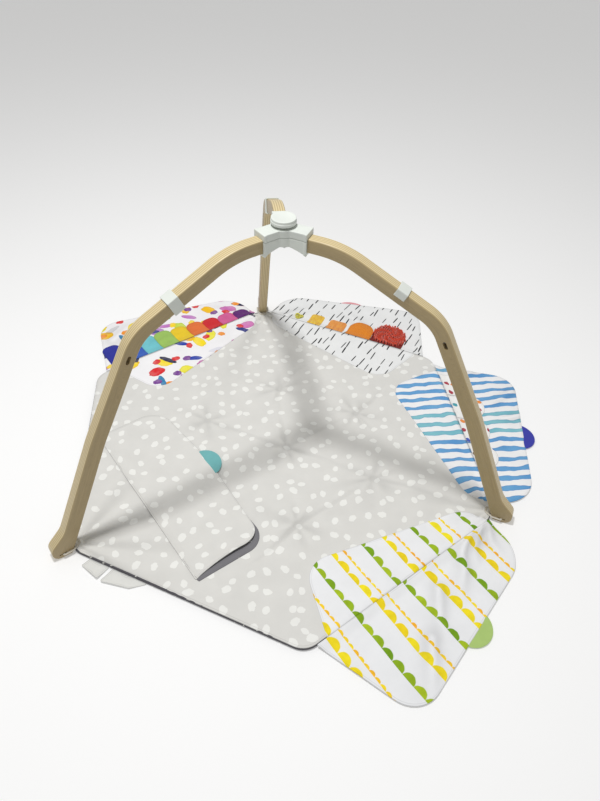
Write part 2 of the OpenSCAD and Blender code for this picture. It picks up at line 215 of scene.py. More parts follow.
def build(name, points, faces, mat, body, slot, uv=None, layers=(), crisp=40):
    """Makes a piece from arrays of points and faces, turned right way out by the sign of its volume, the
    sum of a . (b x c) over its faces; uv is given for each point, and layers are point attributes."""
    points, volume = np.asarray(points, float), 0.0
    for group in faces:
        p = points[np.asarray(group)]
        for k in range(1, p.shape[1] - 1):
            volume += np.einsum("ij,ij->i", p[:, 0], np.cross(p[:, k], p[:, k + 1])).sum()
    if volume < 0:
        faces = [np.asarray(group)[:, ::-1] for group in faces]
    mesh = bpy.data.meshes.new(name)
    mesh.from_pydata(points.tolist(), [], [f for group in faces for f in np.asarray(group).tolist()])
    corner_point = np.zeros(len(mesh.loops), np.int32)
    mesh.loops.foreach_get("vertex_index", corner_point)
    if uv is not None:
        uv_of_corner = np.asarray(uv, np.float32)[corner_point].ravel()
        mesh.uv_layers.new(name="UVMap").data.foreach_set("uv", uv_of_corner)
    for key, values in dict(layers).items():
        kind = "FLOAT_VECTOR" if values.ndim == 2 else "FLOAT"
        layer = mesh.attributes.new(key, kind, "POINT")
        layer.data.foreach_set("vector" if values.ndim == 2 else "value", values.astype(np.float32).ravel())
    mesh.shade_smooth()
    mesh.set_sharp_from_angle(angle=math.radians(crisp))
    piece = bpy.data.objects.new(name, mesh)
    piece.data.materials.append(mat)
    bpy.context.scene.collection.objects.link(piece)
    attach(piece, body)
    return piece


def bend(radius, turn, steps):
    """An arc as equal short moves of (length, turn)."""
    return [(radius * turn / steps, turn / steps)] * steps


def run_along(line):
    """The distance walked along a line to each of its points."""
    return np.concatenate([[0], np.cumsum(np.linalg.norm(np.diff(line, axis=0), axis=1))])


def bearing(degrees):
    """The unit vector at an angle in the floor's plane."""
    return np.array([math.cos(math.radians(degrees)), math.sin(math.radians(degrees))])


def corner_arc(a, b, c, r, n):
    """n + 1 points of the arc of radius r that rounds the corner b of the path a, b, c."""
    a, b, c = (np.asarray(p, float) for p in (a, b, c))
    if r < 1e-6:
        return b[None, :]
    u, v = (a - b) / np.linalg.norm(a - b), (c - b) / np.linalg.norm(c - b)
    half = math.acos(np.clip(u @ v, -1, 1)) / 2
    centre = b + (u + v) / np.linalg.norm(u + v) * r / math.sin(half)
    start, stop = b + u * r / math.tan(half) - centre, b + v * r / math.tan(half) - centre
    first = math.atan2(start[1], start[0])
    sweep = (math.atan2(stop[1], stop[0]) - first + math.pi) % (2 * math.pi) - math.pi
    angle = first + sweep * np.linspace(0, 1, n + 1)
    return centre + r * np.stack([np.cos(angle), np.sin(angle)], 1)


def leg_lines():
    """Outer and inner edge of a leg in its own plane, station by station. The outer edge is a walk of
    straight and bent moves, the inner edge lies square to it at the leg's depth, and in the foot the
    two run on to the toe and the heel."""
    to_rafter = [(0.022, 0.0)] + bend(0.200, math.radians(25), 16) + [(0.150, 0.0)]
    upper = to_rafter + bend(0.110, math.radians(36), 20) + [(0.190, 0.0)] + bend(0.400, SHANK_TURN, 4)

    def walked(moves):
        length, turn = np.array(moves).T
        heading = np.concatenate([[0], np.cumsum(turn)])
        middle = heading[:-1] + turn / 2
        steps = length[:, None] * np.stack([np.cos(middle), -np.sin(middle)], 1)
        return np.vstack([[0, 0], np.cumsum(steps, 0)]) + (HUB_REACH + 0.0003, LEG_TOP), heading

    lower = (walked(upper)[0][-1, 1] - TOE_Z) / math.sin(TOE_SLOPE)
    outer, heading = walked(upper + [(lower, 0.0)])
    run = run_along(outer)
    knee_run = run[len(to_rafter)]
    depth = LEG_DEPTH + FOOT_GAIN * np.clip((run - knee_run) / (run[-1] - knee_run), 0, 1)
    inner = outer + depth[:, None] * np.stack([-np.sin(heading), -np.cos(heading)], 1)
    toe, heel_start = outer[-1], inner[-1]
    heel = np.array([heel_start[0] + heel_start[1] / math.tan(TOE_SLOPE), 0.0])
    toe_r = toe[0] + toe[1] / math.tan(TOE_SLOPE) + TOE_KICK
    toe_top = np.array([toe_r, toe[1] - (toe_r - toe[0]) * math.tan(TOE_FLARE)])
    foot = np.vstack([corner_arc(toe, toe_top, (toe_r, 0), 0.024, 8),
                      corner_arc(toe_top, (toe_r, 0), heel, 0.015, 8)])
    foot_run = run_along(np.vstack([toe, foot]))[1:]
    foot_inner = heel_start + (foot_run / foot_run[-1])[:, None] * (heel - heel_start)
    curve = corner_arc(outer[-2], toe, toe_top, 0.060, 6)
    behind = np.linspace(0, 1, 7)[:, None] * 0.02 * np.array([math.cos(TOE_SLOPE), -math.sin(TOE_SLOPE)])
    curve_in = heel_start + behind - behind[3]
    inside = np.vstack([inner[:-1], curve_in, np.maximum(foot_inner, (0, 0))])
    return np.vstack([outer[:-1], curve, foot]), inside, heel[0]


def bar(outer, inner, half, ease):
    """A rounded bar between two edge lines: round each station's rounded rectangle, the width is
    +-(half - ease) + ease cos a and the depth from the outer line ease + ease sin a, or that plus
    the rest of the depth on the inner side. Gives the points in the leg's plane, the width, the
    depth and how far each point faces outwards or inwards rather than sideways."""
    turn = np.linspace(0, -math.pi / 2, 6)
    angle = np.concatenate([turn - k * math.pi / 2 for k in range(4)])
    side = np.repeat([1, -1, -1, 1], 6)
    inward = np.repeat([0, 0, 1, 1], 6)
    depth = np.linalg.norm(inner - outer, axis=1)[:, None]
    way = (inner - outer) / depth
    half, ease = (np.broadcast_to(v, len(outer))[:, None] for v in (half, ease))
    wide = side * (half - ease) + ease * np.cos(angle)
    deep = inward * (depth - 2 * ease) + ease + ease * np.sin(angle)
    return outer[:, None, :] + way[:, None, :] * deep[:, :, None], wide, deep, np.abs(np.sin(angle)) + 0 * wide


def grid_faces(stations, around, closed=False):
    """The quads of a grid of stations by points around, which may close on itself both ways."""
    i, k = np.meshgrid(np.arange(stations - (not closed)), np.arange(around), indexing="ij")
    a, b, far = i * around + k, i * around + (k + 1) % around, (i + 1) % stations * around
    return np.stack([a, b, far + (k + 1) % around, far + k], -1).reshape(-1, 4)


def tube_faces(stations, around):
    """The quads of a tube of stations by points around, and its two end caps."""
    first = np.arange(around)[None, ::-1]
    return [grid_faces(stations, around), first, (stations - 1) * around + first[:, ::-1]]


def stood(plane, wide, angle):
    """Points of a leg's plane, with their width across it, turned about the hub's axis to that leg."""
    c, s = bearing(angle)
    r, z = plane[..., 0], plane[..., 1]
    return np.stack([r * c - wide * s, r * s + wide * c, z], -1).reshape(-1, 3)


def cut(piece, outline, angle):
    """Cuts an outline of the leg's plane right through a piece."""
    n = len(outline)
    plane = np.vstack([outline, outline])
    wide = np.repeat([0.03, -0.03], n)
    tool = bpy.data.meshes.new("cutter")
    tool.from_pydata(stood(plane, wide, angle).tolist(), [], [f for g in tube_faces(2, n) for f in g.tolist()])
    bm = bmesh.new()
    bm.from_mesh(tool)
    bmesh.ops.recalc_face_normals(bm, faces=bm.faces)
    bm.to_mesh(tool)
    bm.free()
    cutter = bpy.data.objects.new("cutter", tool)
    bpy.context.scene.collection.objects.link(cutter)
    removal = piece.modifiers.new("slot", "BOOLEAN")
    removal.object, removal.solver = cutter, "EXACT"
    bpy.context.view_layer.update()
    result = bpy.data.meshes.new_from_object(piece.evaluated_get(bpy.context.evaluated_depsgraph_get()))
    piece.modifiers.clear()
    piece.data = result
    result.shade_smooth()
    result.set_sharp_from_angle(angle=math.radians(40))
    bpy.data.objects.remove(cutter)


plywood = finish_of("lacquered_plywood", rgb(176, 156, 118), 0.42, Coat_Weight=0.12, Coat_Roughness=0.3)
grain = add(plywood, "Attribute", attribute_name="grain")["Vector"]
facing = add(plywood, "Attribute", attribute_name="ply_edge")["Fac"]
fibres = {"Vector": stretched(grain, 9, 420, 420), "Scale": 1.0, "Detail": 4.0, "Distortion": 0.4}
figure = add(plywood, "TexNoise", fibres)[0]
pore = noise(stretched(grain, 40, 2200, 2200), 1.0, 2.0)
veneer = mix(figure, rgb(148, 130, 92), rgb(178, 158, 116))
veneer = mix(under(pore, 0.40, 0.05) * 0.35, veneer, rgb(120, 100, 70))
PLY_PAIR = 0.0046
ply_at = add(grain, "SeparateXYZ", {0: grain})["Y"] * (2 * math.pi / PLY_PAIR)
ply_at = ply_at + noise(stretched(grain, 3, 30, 1), 1.0, 1.0) * 2.0
ply_line = calc("SINE", ply_at) * 0.5 + 0.5
cut_edge = mix(ply_line ** 1.4, rgb(176, 156, 112), rgb(222, 206, 164))
cut_edge = mix(figure * 0.35, cut_edge, rgb(196, 176, 132))
into(plywood, Base_Color=mix(facing ** 1.5, veneer, cut_edge), Normal=relief_from(figure + pore * 0.5, 0.00012))

outer_line, inner_line, HEEL_R = leg_lines()
tenon_top = np.array([[TENON_IN, LEG_TOP - 0.004], [HUB_REACH, LEG_TOP - 0.004]])
edge_out = np.vstack([tenon_top, outer_line])
edge_in = np.vstack([tenon_top - (0, TENON_H), inner_line])
half_t = np.concatenate([[TENON_T / 2] * 2, [LEG_T / 2] * len(outer_line)])
eased = np.concatenate([[0.001] * 2, [EASE] * len(outer_line)])
leg_plane, leg_wide, leg_deep, leg_facing = bar(edge_out, edge_in, half_t, eased)
leg_run = run_along(edge_out)
SLOT_R, SLOT_Z, SLOT_L, SLOT_W = 0.340757, 0.433, 0.018, 0.007
t = np.linspace(0, math.pi, 13) - math.pi / 2
round_end = np.stack([np.cos(t), np.sin(t)], 1) * SLOT_W / 2
straight = ((SLOT_L - SLOT_W) / 2, 0)
stadium = np.vstack([round_end + straight, -round_end - straight])
c, s = math.cos(-SHANK_SLOPE), math.sin(-SHANK_SLOPE)
side_slot = stadium @ np.array([[c, s], [-s, c]]) + (SLOT_R, SLOT_Z)
foot_slot = np.array([[0, 0], [0.016, 0], [0.016, 0.003], [0, 0.003]]) + (HEEL_R + 0.011, 0.0088)
for leg, angle in LEG_ANGLE.items():
    own_wood = np.broadcast_to(leg_run[:, None] + angle / 100, leg_wide.shape)
    layers = {"grain": np.stack([own_wood, leg_wide, leg_deep], -1).reshape(-1, 3), "ply_edge": leg_facing.ravel()}
    wood = build(f"leg_{leg}_plywood", stood(leg_plane, leg_wide, angle), tube_faces(len(edge_out), 24),
                 plywood, "root", "plywood", layers=layers)
    cut(wood, side_slot, angle)
    cut(wood, foot_slot, angle)
    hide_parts(f"leg_{leg}")


# ---- Hub and clips ----
# A white moulded hub of two shells that close on the legs' tenons, and a white moulded clip that slides
# on each leg to hold a toy's strap. Moulded edges are slightly rounded; the surface has a fine spark texture.

moulded = finish_of("moulded_white", rgb(236, 238, 234), 0.5)
place = add(moulded, "TexCoord")["Object"]
specks = noise(place, 0.0012, 2.0)
tone = noise(place, 0.03, 2.0)
into(moulded, Base_Color=mix(tone, rgb(205, 210, 204), rgb(216, 220, 214)), Roughness=tone * 0.14 + 0.40,
     Normal=relief_from(specks, 0.00006))


def moulded_copy(node, grain_size):
    """A CAD node's shape laid out again on a fine even grid and relaxed, which rounds all its edges."""
    piece = bpy.data.objects.new(node + "_moulding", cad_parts[node].data.copy())
    bm = bmesh.new()
    bm.from_mesh(piece.data)
    bmesh.ops.remove_doubles(bm, verts=bm.verts, dist=0.00001)
    bm.to_mesh(piece.data)
    bm.free()
    bpy.context.scene.collection.objects.link(piece)
    grid = piece.modifiers.new("grid", "REMESH")
    grid.mode, grid.voxel_size, grid.use_smooth_shade = "VOXEL", grain_size, True
    relax = piece.modifiers.new("relax", "SMOOTH")
    relax.factor, relax.iterations = 0.5, 5
    bpy.context.view_layer.update()
    made = bpy.data.meshes.new_from_object(piece.evaluated_get(bpy.context.evaluated_depsgraph_get()))
    piece.modifiers.clear()
    piece.data = made
    made.materials.clear()
    made.materials.append(moulded)
    made.shade_smooth()
    return piece


for node, grain_size in (("hub_body", 0.0009), ("hub_cap", 0.0008), ("clip_back", 0.0006), ("clip_left", 0.0006),
                         ("clip_right", 0.0006)):
    shell = moulded_copy(node, grain_size)
    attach(shell, "root" if node == "hub_body" else node)
    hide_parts(node)


# ---- Knob, stud, washer and insert ----
# The knob is a turned-looking white moulding in two steps on a narrow neck. It is moulded round the head
# of a steel stud that runs through a washer into a brass insert in the hub.

KNOB_Z, KNOB_R, NECK_R, NECK_H, KNOB_H = 0.5925, 0.0245, 0.017, 0.003, 0.011
step_z = NECK_H + KNOB_H * 0.55
knob_half = np.vstack([
    [[0, 0], [NECK_R, 0], [NECK_R, NECK_H]],
    corner_arc((NECK_R, NECK_H), (KNOB_R, NECK_H), (KNOB_R, 1), 0.0014, 6),
    corner_arc((KNOB_R, NECK_H), (KNOB_R, step_z), (0, step_z), 0.0012, 6),
    corner_arc((KNOB_R, step_z), (KNOB_R - 0.0009, step_z), (KNOB_R - 0.0009, 1), 0.0003, 3),
    corner_arc((KNOB_R - 0.0009, 0), (KNOB_R - 0.0009, NECK_H + KNOB_H), (0, NECK_H + KNOB_H), 0.0010, 6),
    [[KNOB_R - 0.006, NECK_H + KNOB_H - 0.00005], [KNOB_R - 0.0075, NECK_H + KNOB_H - 0.0005],
     [0, NECK_H + KNOB_H - 0.0006]]])


def turned(profile, around, z):
    """A profile of radius and height carried round the hub's axis: x = r cos a, y = r sin a."""
    a = np.linspace(0, 2 * math.pi, around, endpoint=False)
    rim = profile[1:-1]
    height = np.broadcast_to(rim[:, 1:] + z, (len(rim), around))
    ring = np.stack([rim[:, :1] * np.cos(a), rim[:, :1] * np.sin(a), height], -1)
    points = np.vstack([ring.reshape(-1, 3), [0, 0, profile[0, 1] + z], [0, 0, profile[-1, 1] + z]])
    k = np.arange(around)
    last = (len(rim) - 1) * around
    foot = np.stack([(k + 1) % around, k, np.full(around, len(points) - 2)], 1)
    head = np.stack([last + k, last + (k + 1) % around, np.full(around, len(points) - 1)], 1)
    return points, [grid_faces(len(rim), around), foot, head]


knob = build("knob_moulding", *turned(knob_half, 96, KNOB_Z), moulded, "knob", "moulded_white", crisp=45)
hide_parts("knob")
steel = finish_of("turned_steel", rgb(170, 170, 166), 0.3, Metallic=1.0)
brass = finish_of("turned_brass", rgb(200, 164, 92), 0.35, Metallic=1.0)
for metal in (steel, brass):
    rings = stretched(add(metal, "TexCoord")["Object"], 300, 300, 3000)
    into(metal, Normal=relief_from(noise(rings, 1.0, 2.0), 0.00004))
for node, metal in (("clamp_stud", steel), ("washer", steel), ("nut_insert", brass)):
    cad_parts[node].data.materials.clear()
    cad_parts[node].data.materials.append(metal)


# ---- Mat ----
# Printed cotton over soft wadding over a dark cloth, tacked through at seven points and drawn in at the
# legs' corners, so its top puffs up between tacks and creases fan out from them.

MAT_R = 0.546
MIDDLE, FRONT, BACK = (0.017, -0.032), (0.017, -0.259), (0.017, 0.181)
TACKS = (MIDDLE, FRONT, BACK, (-0.176, 0.077), (0.211, -0.147), (0.209, 0.072), (-0.178, -0.143))


def mat_corner(i, r=MAT_R):
    """Corner i of the hexagon: even corners are tied to the legs, odd ones are free."""
    return r * bearing(90 - 60 * i)


def rounded(corners, radii, n=12):
    """A closed outline with each corner rounded by its own radius."""
    m = len(corners)
    return np.vstack([corner_arc(corners[i - 1], corners[i], corners[(i + 1) % m], radii[i], n)
                      for i in range(m)])


def spread(loop, count):
    """A closed outline as count points spaced evenly along it."""
    closed = np.vstack([loop, loop[:1]])
    run = run_along(closed)
    at = np.linspace(0, run[-1], count, endpoint=False)
    return np.stack([np.interp(at, run, closed[:, 0]), np.interp(at, run, closed[:, 1])], 1)


def fold(x, y, path, height, width):
    """A fold's height: height times exp(-(distance to the path / width)^2), fading out by a quarter
    cosine towards the path's far end."""
    path = np.asarray(path, float)
    lengths = np.linalg.norm(np.diff(path, axis=0), axis=1)
    starts = np.concatenate([[0], np.cumsum(lengths)])
    nearest, along = np.full(np.shape(x), np.inf), np.zeros(np.shape(x))
    for a, b, length, before in zip(path[:-1], path[1:], lengths, starts):
        share = np.clip(((x - a[0]) * (b[0] - a[0]) + (y - a[1]) * (b[1] - a[1])) / length ** 2, 0, 1)
        distance = np.hypot(x - a[0] - share * (b[0] - a[0]), y - a[1] - share * (b[1] - a[1]))
        along = np.where(distance < nearest, (before + share * length) / starts[-1], along)
        nearest = np.minimum(nearest, distance)
    return height * np.exp(-(nearest / width) ** 2) * np.cos(along * math.pi / 2)


def step(value, low, high):
    """A smooth step, 3t^2 - 2t^3, from 0 at low to 1 at high."""
    share = np.clip((value - low) / (high - low), 0, 1)
    return share * share * (3 - 2 * share)


def ripple(x, y, seed, longest, shortest, count=12):
    """Gentle unevenness: a sum of sines in seeded directions, from the longest wave to the shortest."""
    draw = np.random.default_rng(seed)
    total = np.zeros(np.shape(x))
    for wave in np.geomspace(longest, shortest, count):
        way, phase = draw.uniform(0, 2 * math.pi, 2)
        along = x * math.cos(way) + y * math.sin(way)
        total = total + wave / longest * np.sin(2 * math.pi / wave * along + phase)
    return total / math.sqrt(count)


def fan(x, y, centre, towards, reach, count, seed):
    """Creases that fan out from a point: 0 to 1 with the bearing as uneven waves, fading with distance
    as exp(-(r / reach)^2)."""
    r = np.hypot(x - centre[0], y - centre[1])
    bearing = np.arctan2(y - centre[1], x - centre[0]) - towards
    bearing = (bearing + math.pi) % (2 * math.pi) - math.pi
    phase = np.random.default_rng(seed).uniform(0, 2 * math.pi, 2)
    wave = np.cos(count * bearing + phase[0] + 0.9 * np.sin(2.3 * bearing + phase[1]))
    return (0.5 + 0.5 * wave) ** 2 * np.exp(-(r / reach) ** 2) * step(r, 0.004, 0.03)


# The long creases: the path of each, how deep and how wide.
CREASES = (
    ((MIDDLE, (0.090, 0.010), TACKS[5]), 0.0012, 0.010), ((MIDDLE, (-0.060, 0.010), TACKS[3]), 0.0012, 0.011),
    ((MIDDLE, (0.010, 0.070), BACK), 0.0011, 0.012), ((FRONT, (0.100, -0.215), TACKS[4]), 0.0012, 0.010),
    ((MIDDLE, (0.110, -0.080), TACKS[4]), 0.0010, 0.012),
    ((FRONT, (-0.060, -0.330), (-0.130, -0.372)), 0.0013, 0.009),
    ((TACKS[5], (0.270, 0.120), (0.330, 0.200)), 0.0012, 0.010),
    ((BACK, (0.070, 0.250), (0.150, 0.300)), 0.0010, 0.010),
    ((TACKS[4], (0.300, -0.180), (0.400, -0.240)), 0.0012, 0.010),
    ((TACKS[6], (-0.260, -0.190), (-0.380, -0.235)), 0.0014, 0.010))


def mat_height(x, y):
    """Height of the mat's top: full thickness, less a dimple at each tack, creases that fan out from
    tacks and tied corners, the long creases between tacks, and a gentle unevenness."""
    z = 0.0094 + 0.0007 * ripple(x, y, 5, 0.24, 0.03, 18)
    for k, (tx, ty) in enumerate(TACKS):
        r = np.hypot(x - tx, y - ty)
        z = z - 0.0034 * np.exp(-(r / 0.013) ** 2) - 0.0012 * np.exp(-(r / 0.045) ** 2)
        z = z - 0.0030 * fan(x, y, (tx, ty), 0.4 * k, 0.060, 6, 20 + k)
    for k, reach in ((0, 0.27), (2, 0.17), (4, 0.20)):
        cx, cy = mat_corner(k, 0.53)
        z = z - 0.0040 * fan(x, y, (cx, cy), math.atan2(-cy, -cx), reach, 11, 40 + k)
    for path, depth, width in CREASES:
        z = z - 2.2 * fold(x, y, path, depth, 0.6 * width) + 0.5 * fold(x, y, path, depth, 1.8 * width)
    return np.clip(z, 0.0036, 0.0099)


def pane(name, rim, top, bottom, rings, mat, body, slot, place=None, hold=1.0, plain_under=False,
         crease=None):
    """A cloth pane between two heights. With s from 0 at the middle to 1 at the rim, a point is
    middle + s (rim - middle); the upper grid takes z = top(x, y, s), the lower z = bottom(x, y, s), or
    the top less a thickness, and a strip of faces closes the rim. Both read the pane's own x and y,
    which are also its UV map; crease(x, y) is 1 where the cloth is in a hollow, and is kept as the
    point attribute hollow, which the cloth's material turns into painted shade."""
    n, middle = len(rim), rim.mean(0)
    s = np.linspace(0, 1, rings + 1)[1:] ** hold
    flat = np.vstack([middle, (middle + s[:, None, None] * (rim - middle)).reshape(-1, 2)])
    share = np.concatenate([[0], np.repeat(s, n)])
    x, y = flat.T
    laid = flat if place is None else place(flat)
    high = top(x, y, share)
    deep = bottom(x, y, share) if callable(bottom) else high - bottom
    points = np.vstack([np.c_[laid, high], np.c_[laid, deep]])
    i, k = np.meshgrid(np.arange(rings - 1), np.arange(n), indexing="ij")
    a, b = 1 + i * n + k, 1 + i * n + (k + 1) % n
    upper = np.stack([a, a + n, b + n, b], -1).reshape(-1, 4)
    k = np.arange(n)
    hub_fan = np.stack([np.zeros(n, int), 1 + k, 1 + (k + 1) % n], 1)
    last, under_it = 1 + (rings - 1) * n, len(flat)
    below = [upper[:, ::-1] + under_it, hub_fan[:, ::-1] + under_it]
    if plain_under:
        below = [np.stack([np.zeros(n, int), last + (k + 1) % n, last + k], 1) + under_it]
    edge = np.stack([last + k, last + k + under_it, last + (k + 1) % n + under_it, last + (k + 1) % n], 1)
    faces = [upper, hub_fan, *below, edge]
    reach = np.linalg.norm(rim - middle, axis=1)
    hem = np.r_[reach.mean(), np.tile(reach, rings)] * (1 - share)
    hollow = np.clip(crease(x, y), 0, 1) if crease else 0 * share
    layers = {"hem": np.r_[hem, hem], "hollow": np.r_[hollow, hollow]}
    return build(name, points, faces, mat, body, slot, uv=np.vstack([flat, flat]), layers=layers, crisp=70)


# A wave texture of scale 1 repeats every 0.314 m.
WAVE = 0.314


def threads(uv, pitch, depth):
    """A plain weave: the product of two bands across each other, broken up by noise."""
    bands = [add(uv, "TexWave", {"Vector": uv, "Scale": WAVE / pitch, "Distortion": 0.5, "Detail": 1.0},
                 bands_direction=way)[1] for way in "XY"]
    return relief_from(bands[0] * bands[1] + noise(uv, pitch * 4) * 0.3, depth)


def cloth(name, print_on, roughness=0.85, pitch=0.0006, depth=0.00007):
    """A woven cloth: print_on(uv) gives its colour, which varies a little, darkens along the stitches beside
    the turned-in edge, and takes painted shade in the hollows and at the turned-in edge."""
    mat = finish_of(name, rgb(220, 220, 220), roughness, Sheen_Weight=0.15, Specular_IOR_Level=0.25)
    uv = add(mat, "UVMap")[0]
    colour = print_on(uv) if callable(print_on) else print_on
    hem = add(mat, "Attribute", attribute_name="hem")["Fac"]
    hollow = add(mat, "Attribute", attribute_name="hollow")["Fac"]
    # Painted shade: the colour darkens at the rolled rim and in the hollows. The line 4.2 mm in is the darker stitch
    # thread.
    stitch = under(abs(hem - 0.0042), 0.0007, 0.0005)
    rim_shade = under(hem, 0.0012, 0.0009)
    stitch_and_shade = calc("MAXIMUM", stitch * 0.13, rim_shade * 0.30) + hollow * 0.16
    tint = noise(uv, 0.05, 4.0) * 0.14 + 0.93 - stitch_and_shade
    toned_and_shaded = add(mat, "VectorMath", {0: colour, "Scale": tint}, operation="SCALE")[0]
    into(mat, Base_Color=toned_and_shaded, Normal=threads(uv, pitch, depth))
    return mat


def scatter(where, spacing, loose):
    """Points strewn at about a spacing: the way to a place from its nearest point, and three numbers
    from 0 to 1 that each point draws by lot."""
    cells = add(where, "TexVoronoi", {"Vector": where, "Scale": 1 / spacing, "Randomness": loose},
                voronoi_dimensions="2D")
    return where - cells["Position"], add(where, "SeparateColor", {0: cells["Color"]})


def twisted(where, angle):
    """Coordinates turned by an angle about their origin."""
    return add(where, "VectorRotate", {"Vector": where, "Angle": angle}, rotation_type="Z_AXIS")[0]


def oval_reach(away, long, wide):
    """How far a place is from an oval's middle: 1 on its rim."""
    return add(away, "VectorMath", {0: away * (2 / long, 2 / wide, 0)}, operation="LENGTH")[1]


def spots(uv, spacing, long, wide, ground, spot):
    """Scattered oval dabs, each turned its own way, on a plain ground."""
    away, lot = scatter(uv, spacing, 0.72)
    reach = oval_reach(twisted(away, lot[0] * 6.3), long, wide) / (lot[1] * 0.35 + 0.80)
    rough_rim = noise(uv, long * 0.4, 1.0) * 0.7 - 0.35
    return mix(under(reach + rough_rim, 1.0, 0.07), ground, spot)


GREY, PALE_DOT, DARK, CREAM_DOT = rgb(220, 219, 215), rgb(238, 238, 234), rgb(98, 96, 102), rgb(228, 228, 222)
grey_dots = cloth("grey_dot_cotton", lambda uv: spots(uv, 0.039, 0.0195, 0.0145, GREY, PALE_DOT))
dark_print = cloth("dark_cotton", lambda uv: spots(uv, 0.030, 0.006, 0.0035, DARK, CREAM_DOT))

hexagon = [mat_corner(i, MAT_R - 0.0006) for i in range(6)]
mat_rim = spread(rounded(hexagon, [0.060, 0.045] * 3, 16), 640)
for angle in LEG_ANGLE.values():
    way = bearing(angle)
    sideways = np.abs(mat_rim @ (-way[1], way[0]))
    notch = HEEL_R - 0.0055 + 2.0 * np.maximum(sideways - 0.0135, 0)
    mat_rim = mat_rim + np.minimum(notch - mat_rim @ way, 0)[:, None] * way


def mat_inset(by):
    """The mat's rim drawn in by a margin."""
    return mat_rim * (1 - by / np.linalg.norm(mat_rim, axis=1, keepdims=True))


def mat_face(x, y, s):
    """The mat's top, rolled down a little at its rim."""
    return mat_height(x, y) - 0.0012 * step(s, 0.985, 1.0)


def mat_hollow(x, y):
    """How deep a place lies below the plump parts of the mat, 1 at 3.5 mm: how much painted shade the cloth's colour
    takes there.
    """
    return (0.0090 - mat_height(x, y)) / 0.0035


mat_top = pane("mat_top_cotton", mat_inset(0.0012), mat_face, lambda x, y, s: 0.0017 + 0 * x, 148, grey_dots,
               "root", "grey_dot_cloth", hold=0.8, plain_under=True, crease=mat_hollow)
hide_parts("mat_top", "mat_wadding")
mat_under = pane("mat_underside_cloth", mat_inset(0.0030), lambda x, y, s: 0.0015 + 0 * x, 0.0015, 12, dark_print,
                 "root", "dark_cloth")
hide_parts("mat_underside")

# The edge binding: a folded strip of the dark cloth round the rim, puckered a little by its stitches. Its
# section is a squared circle, cos a and sin a each to the power 0.6.
a = np.linspace(0, 2 * math.pi, 12, endpoint=False)
squared = [np.sign(f(a)) * np.abs(f(a)) ** 0.6 for f in (np.cos, np.sin)]
inward = -mat_rim / np.linalg.norm(mat_rim, axis=1, keepdims=True)
run = np.linspace(0, 2 * math.pi, len(mat_rim), endpoint=False)
ring_xy = mat_rim[:, None, :] + inward[:, None, :] * 0.0021 * (1 - squared[0])[None, :, None]
ring_z = 0.0040 + 0.0039 * squared[1][None, :] * (1 + 0.05 * np.sin(run * 151)[:, None])
tape_uv = np.stack(np.broadcast_arrays(run[:, None] * 0.5, a * 0.002), -1).reshape(-1, 2)
binding = build("mat_binding_tape", np.dstack([ring_xy, ring_z]).reshape(-1, 3),
                [grid_faces(len(mat_rim), 12, True)], dark_print, "root", "dark_cloth", uv=tape_uv)
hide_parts("mat_binding")


# ---- Corner straps ----
# A loop of cream polyester webbing at each tied corner. It is sewn into the mat's edge and goes through
# the slot in the leg's foot and round its toe, so the legs hold the mat stretched.

webbing = cloth("cream_webbing", rgb(238, 232, 218), 0.8, pitch=0.0012, depth=0.0002)
loop_half, loop_from, loop_to = LEG_T / 2 + 0.0032, HEEL_R - 0.019, HEEL_R + 0.0185
loop_line = spread(rounded([
    (loop_from, -0.006), (HEEL_R - 0.002, -loop_half), (loop_to, -loop_half), (loop_to, loop_half),
    (HEEL_R - 0.002, loop_half), (loop_from, 0.006)], [0.003, 0.006, 0.002, 0.002, 0.006, 0.003], 6), 96)
ahead = np.roll(loop_line, -1, 0) - np.roll(loop_line, 1, 0)
out_way = np.stack([ahead[:, 1], -ahead[:, 0]], 1) / np.linalg.norm(ahead, axis=1, keepdims=True)
b = np.linspace(0, 2 * math.pi, 10, endpoint=False)
flat_x, flat_y = (loop_line[:, k:k + 1] + out_way[:, k:k + 1] * 0.0024 * np.cos(b) for k in (0, 1))
strap_z = 0.0103 + 0.0009 * np.sin(b) + 0 * flat_x
strap_uv = np.stack(np.meshgrid(np.arange(96) * 0.0015, np.arange(10) * 0.0005, indexing="ij"), -1)
for leg, angle in LEG_ANGLE.items():
    strap = build(f"corner_strap_{leg}", stood(np.stack([flat_x, strap_z], -1), flat_y, angle),
                  [grid_faces(96, 10, True)], webbing, "root", "webbing", uv=strap_uv.reshape(-1, 2))
    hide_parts(f"corner_loop_{leg}")


# ---- Play zones: printed halves ----
# On four sides one print runs over a half that lies on the mat and over a flap hinged on the mat's edge.
# Each flap is the print and a grey lining, sewn round the rim and turned, so it is plump and soft edged.

SEAM_FROM, SEAM_TO, FLAP_DEEP, FLAP_SHALLOW = 0.026, MAT_R - 0.028, 0.213, 0.108


def on_side(free, tied, flip):
    """A zone's own frame: its origin at the free corner, x along the mat's edge, y outwards."""
    start, end = mat_corner(free), mat_corner(tied)
    along = (end - start) / np.linalg.norm(end - start)
    out = np.array([-along[1], along[0]]) * (-1 if flip else 1)
    return lambda xy: start + xy[:, :1] * along + xy[:, 1:2] * out


ZONES = {"colours": on_side(5, 0, False), "textures": on_side(1, 0, True),
         "waves": on_side(1, 2, False), "scallops": on_side(3, 2, True)}


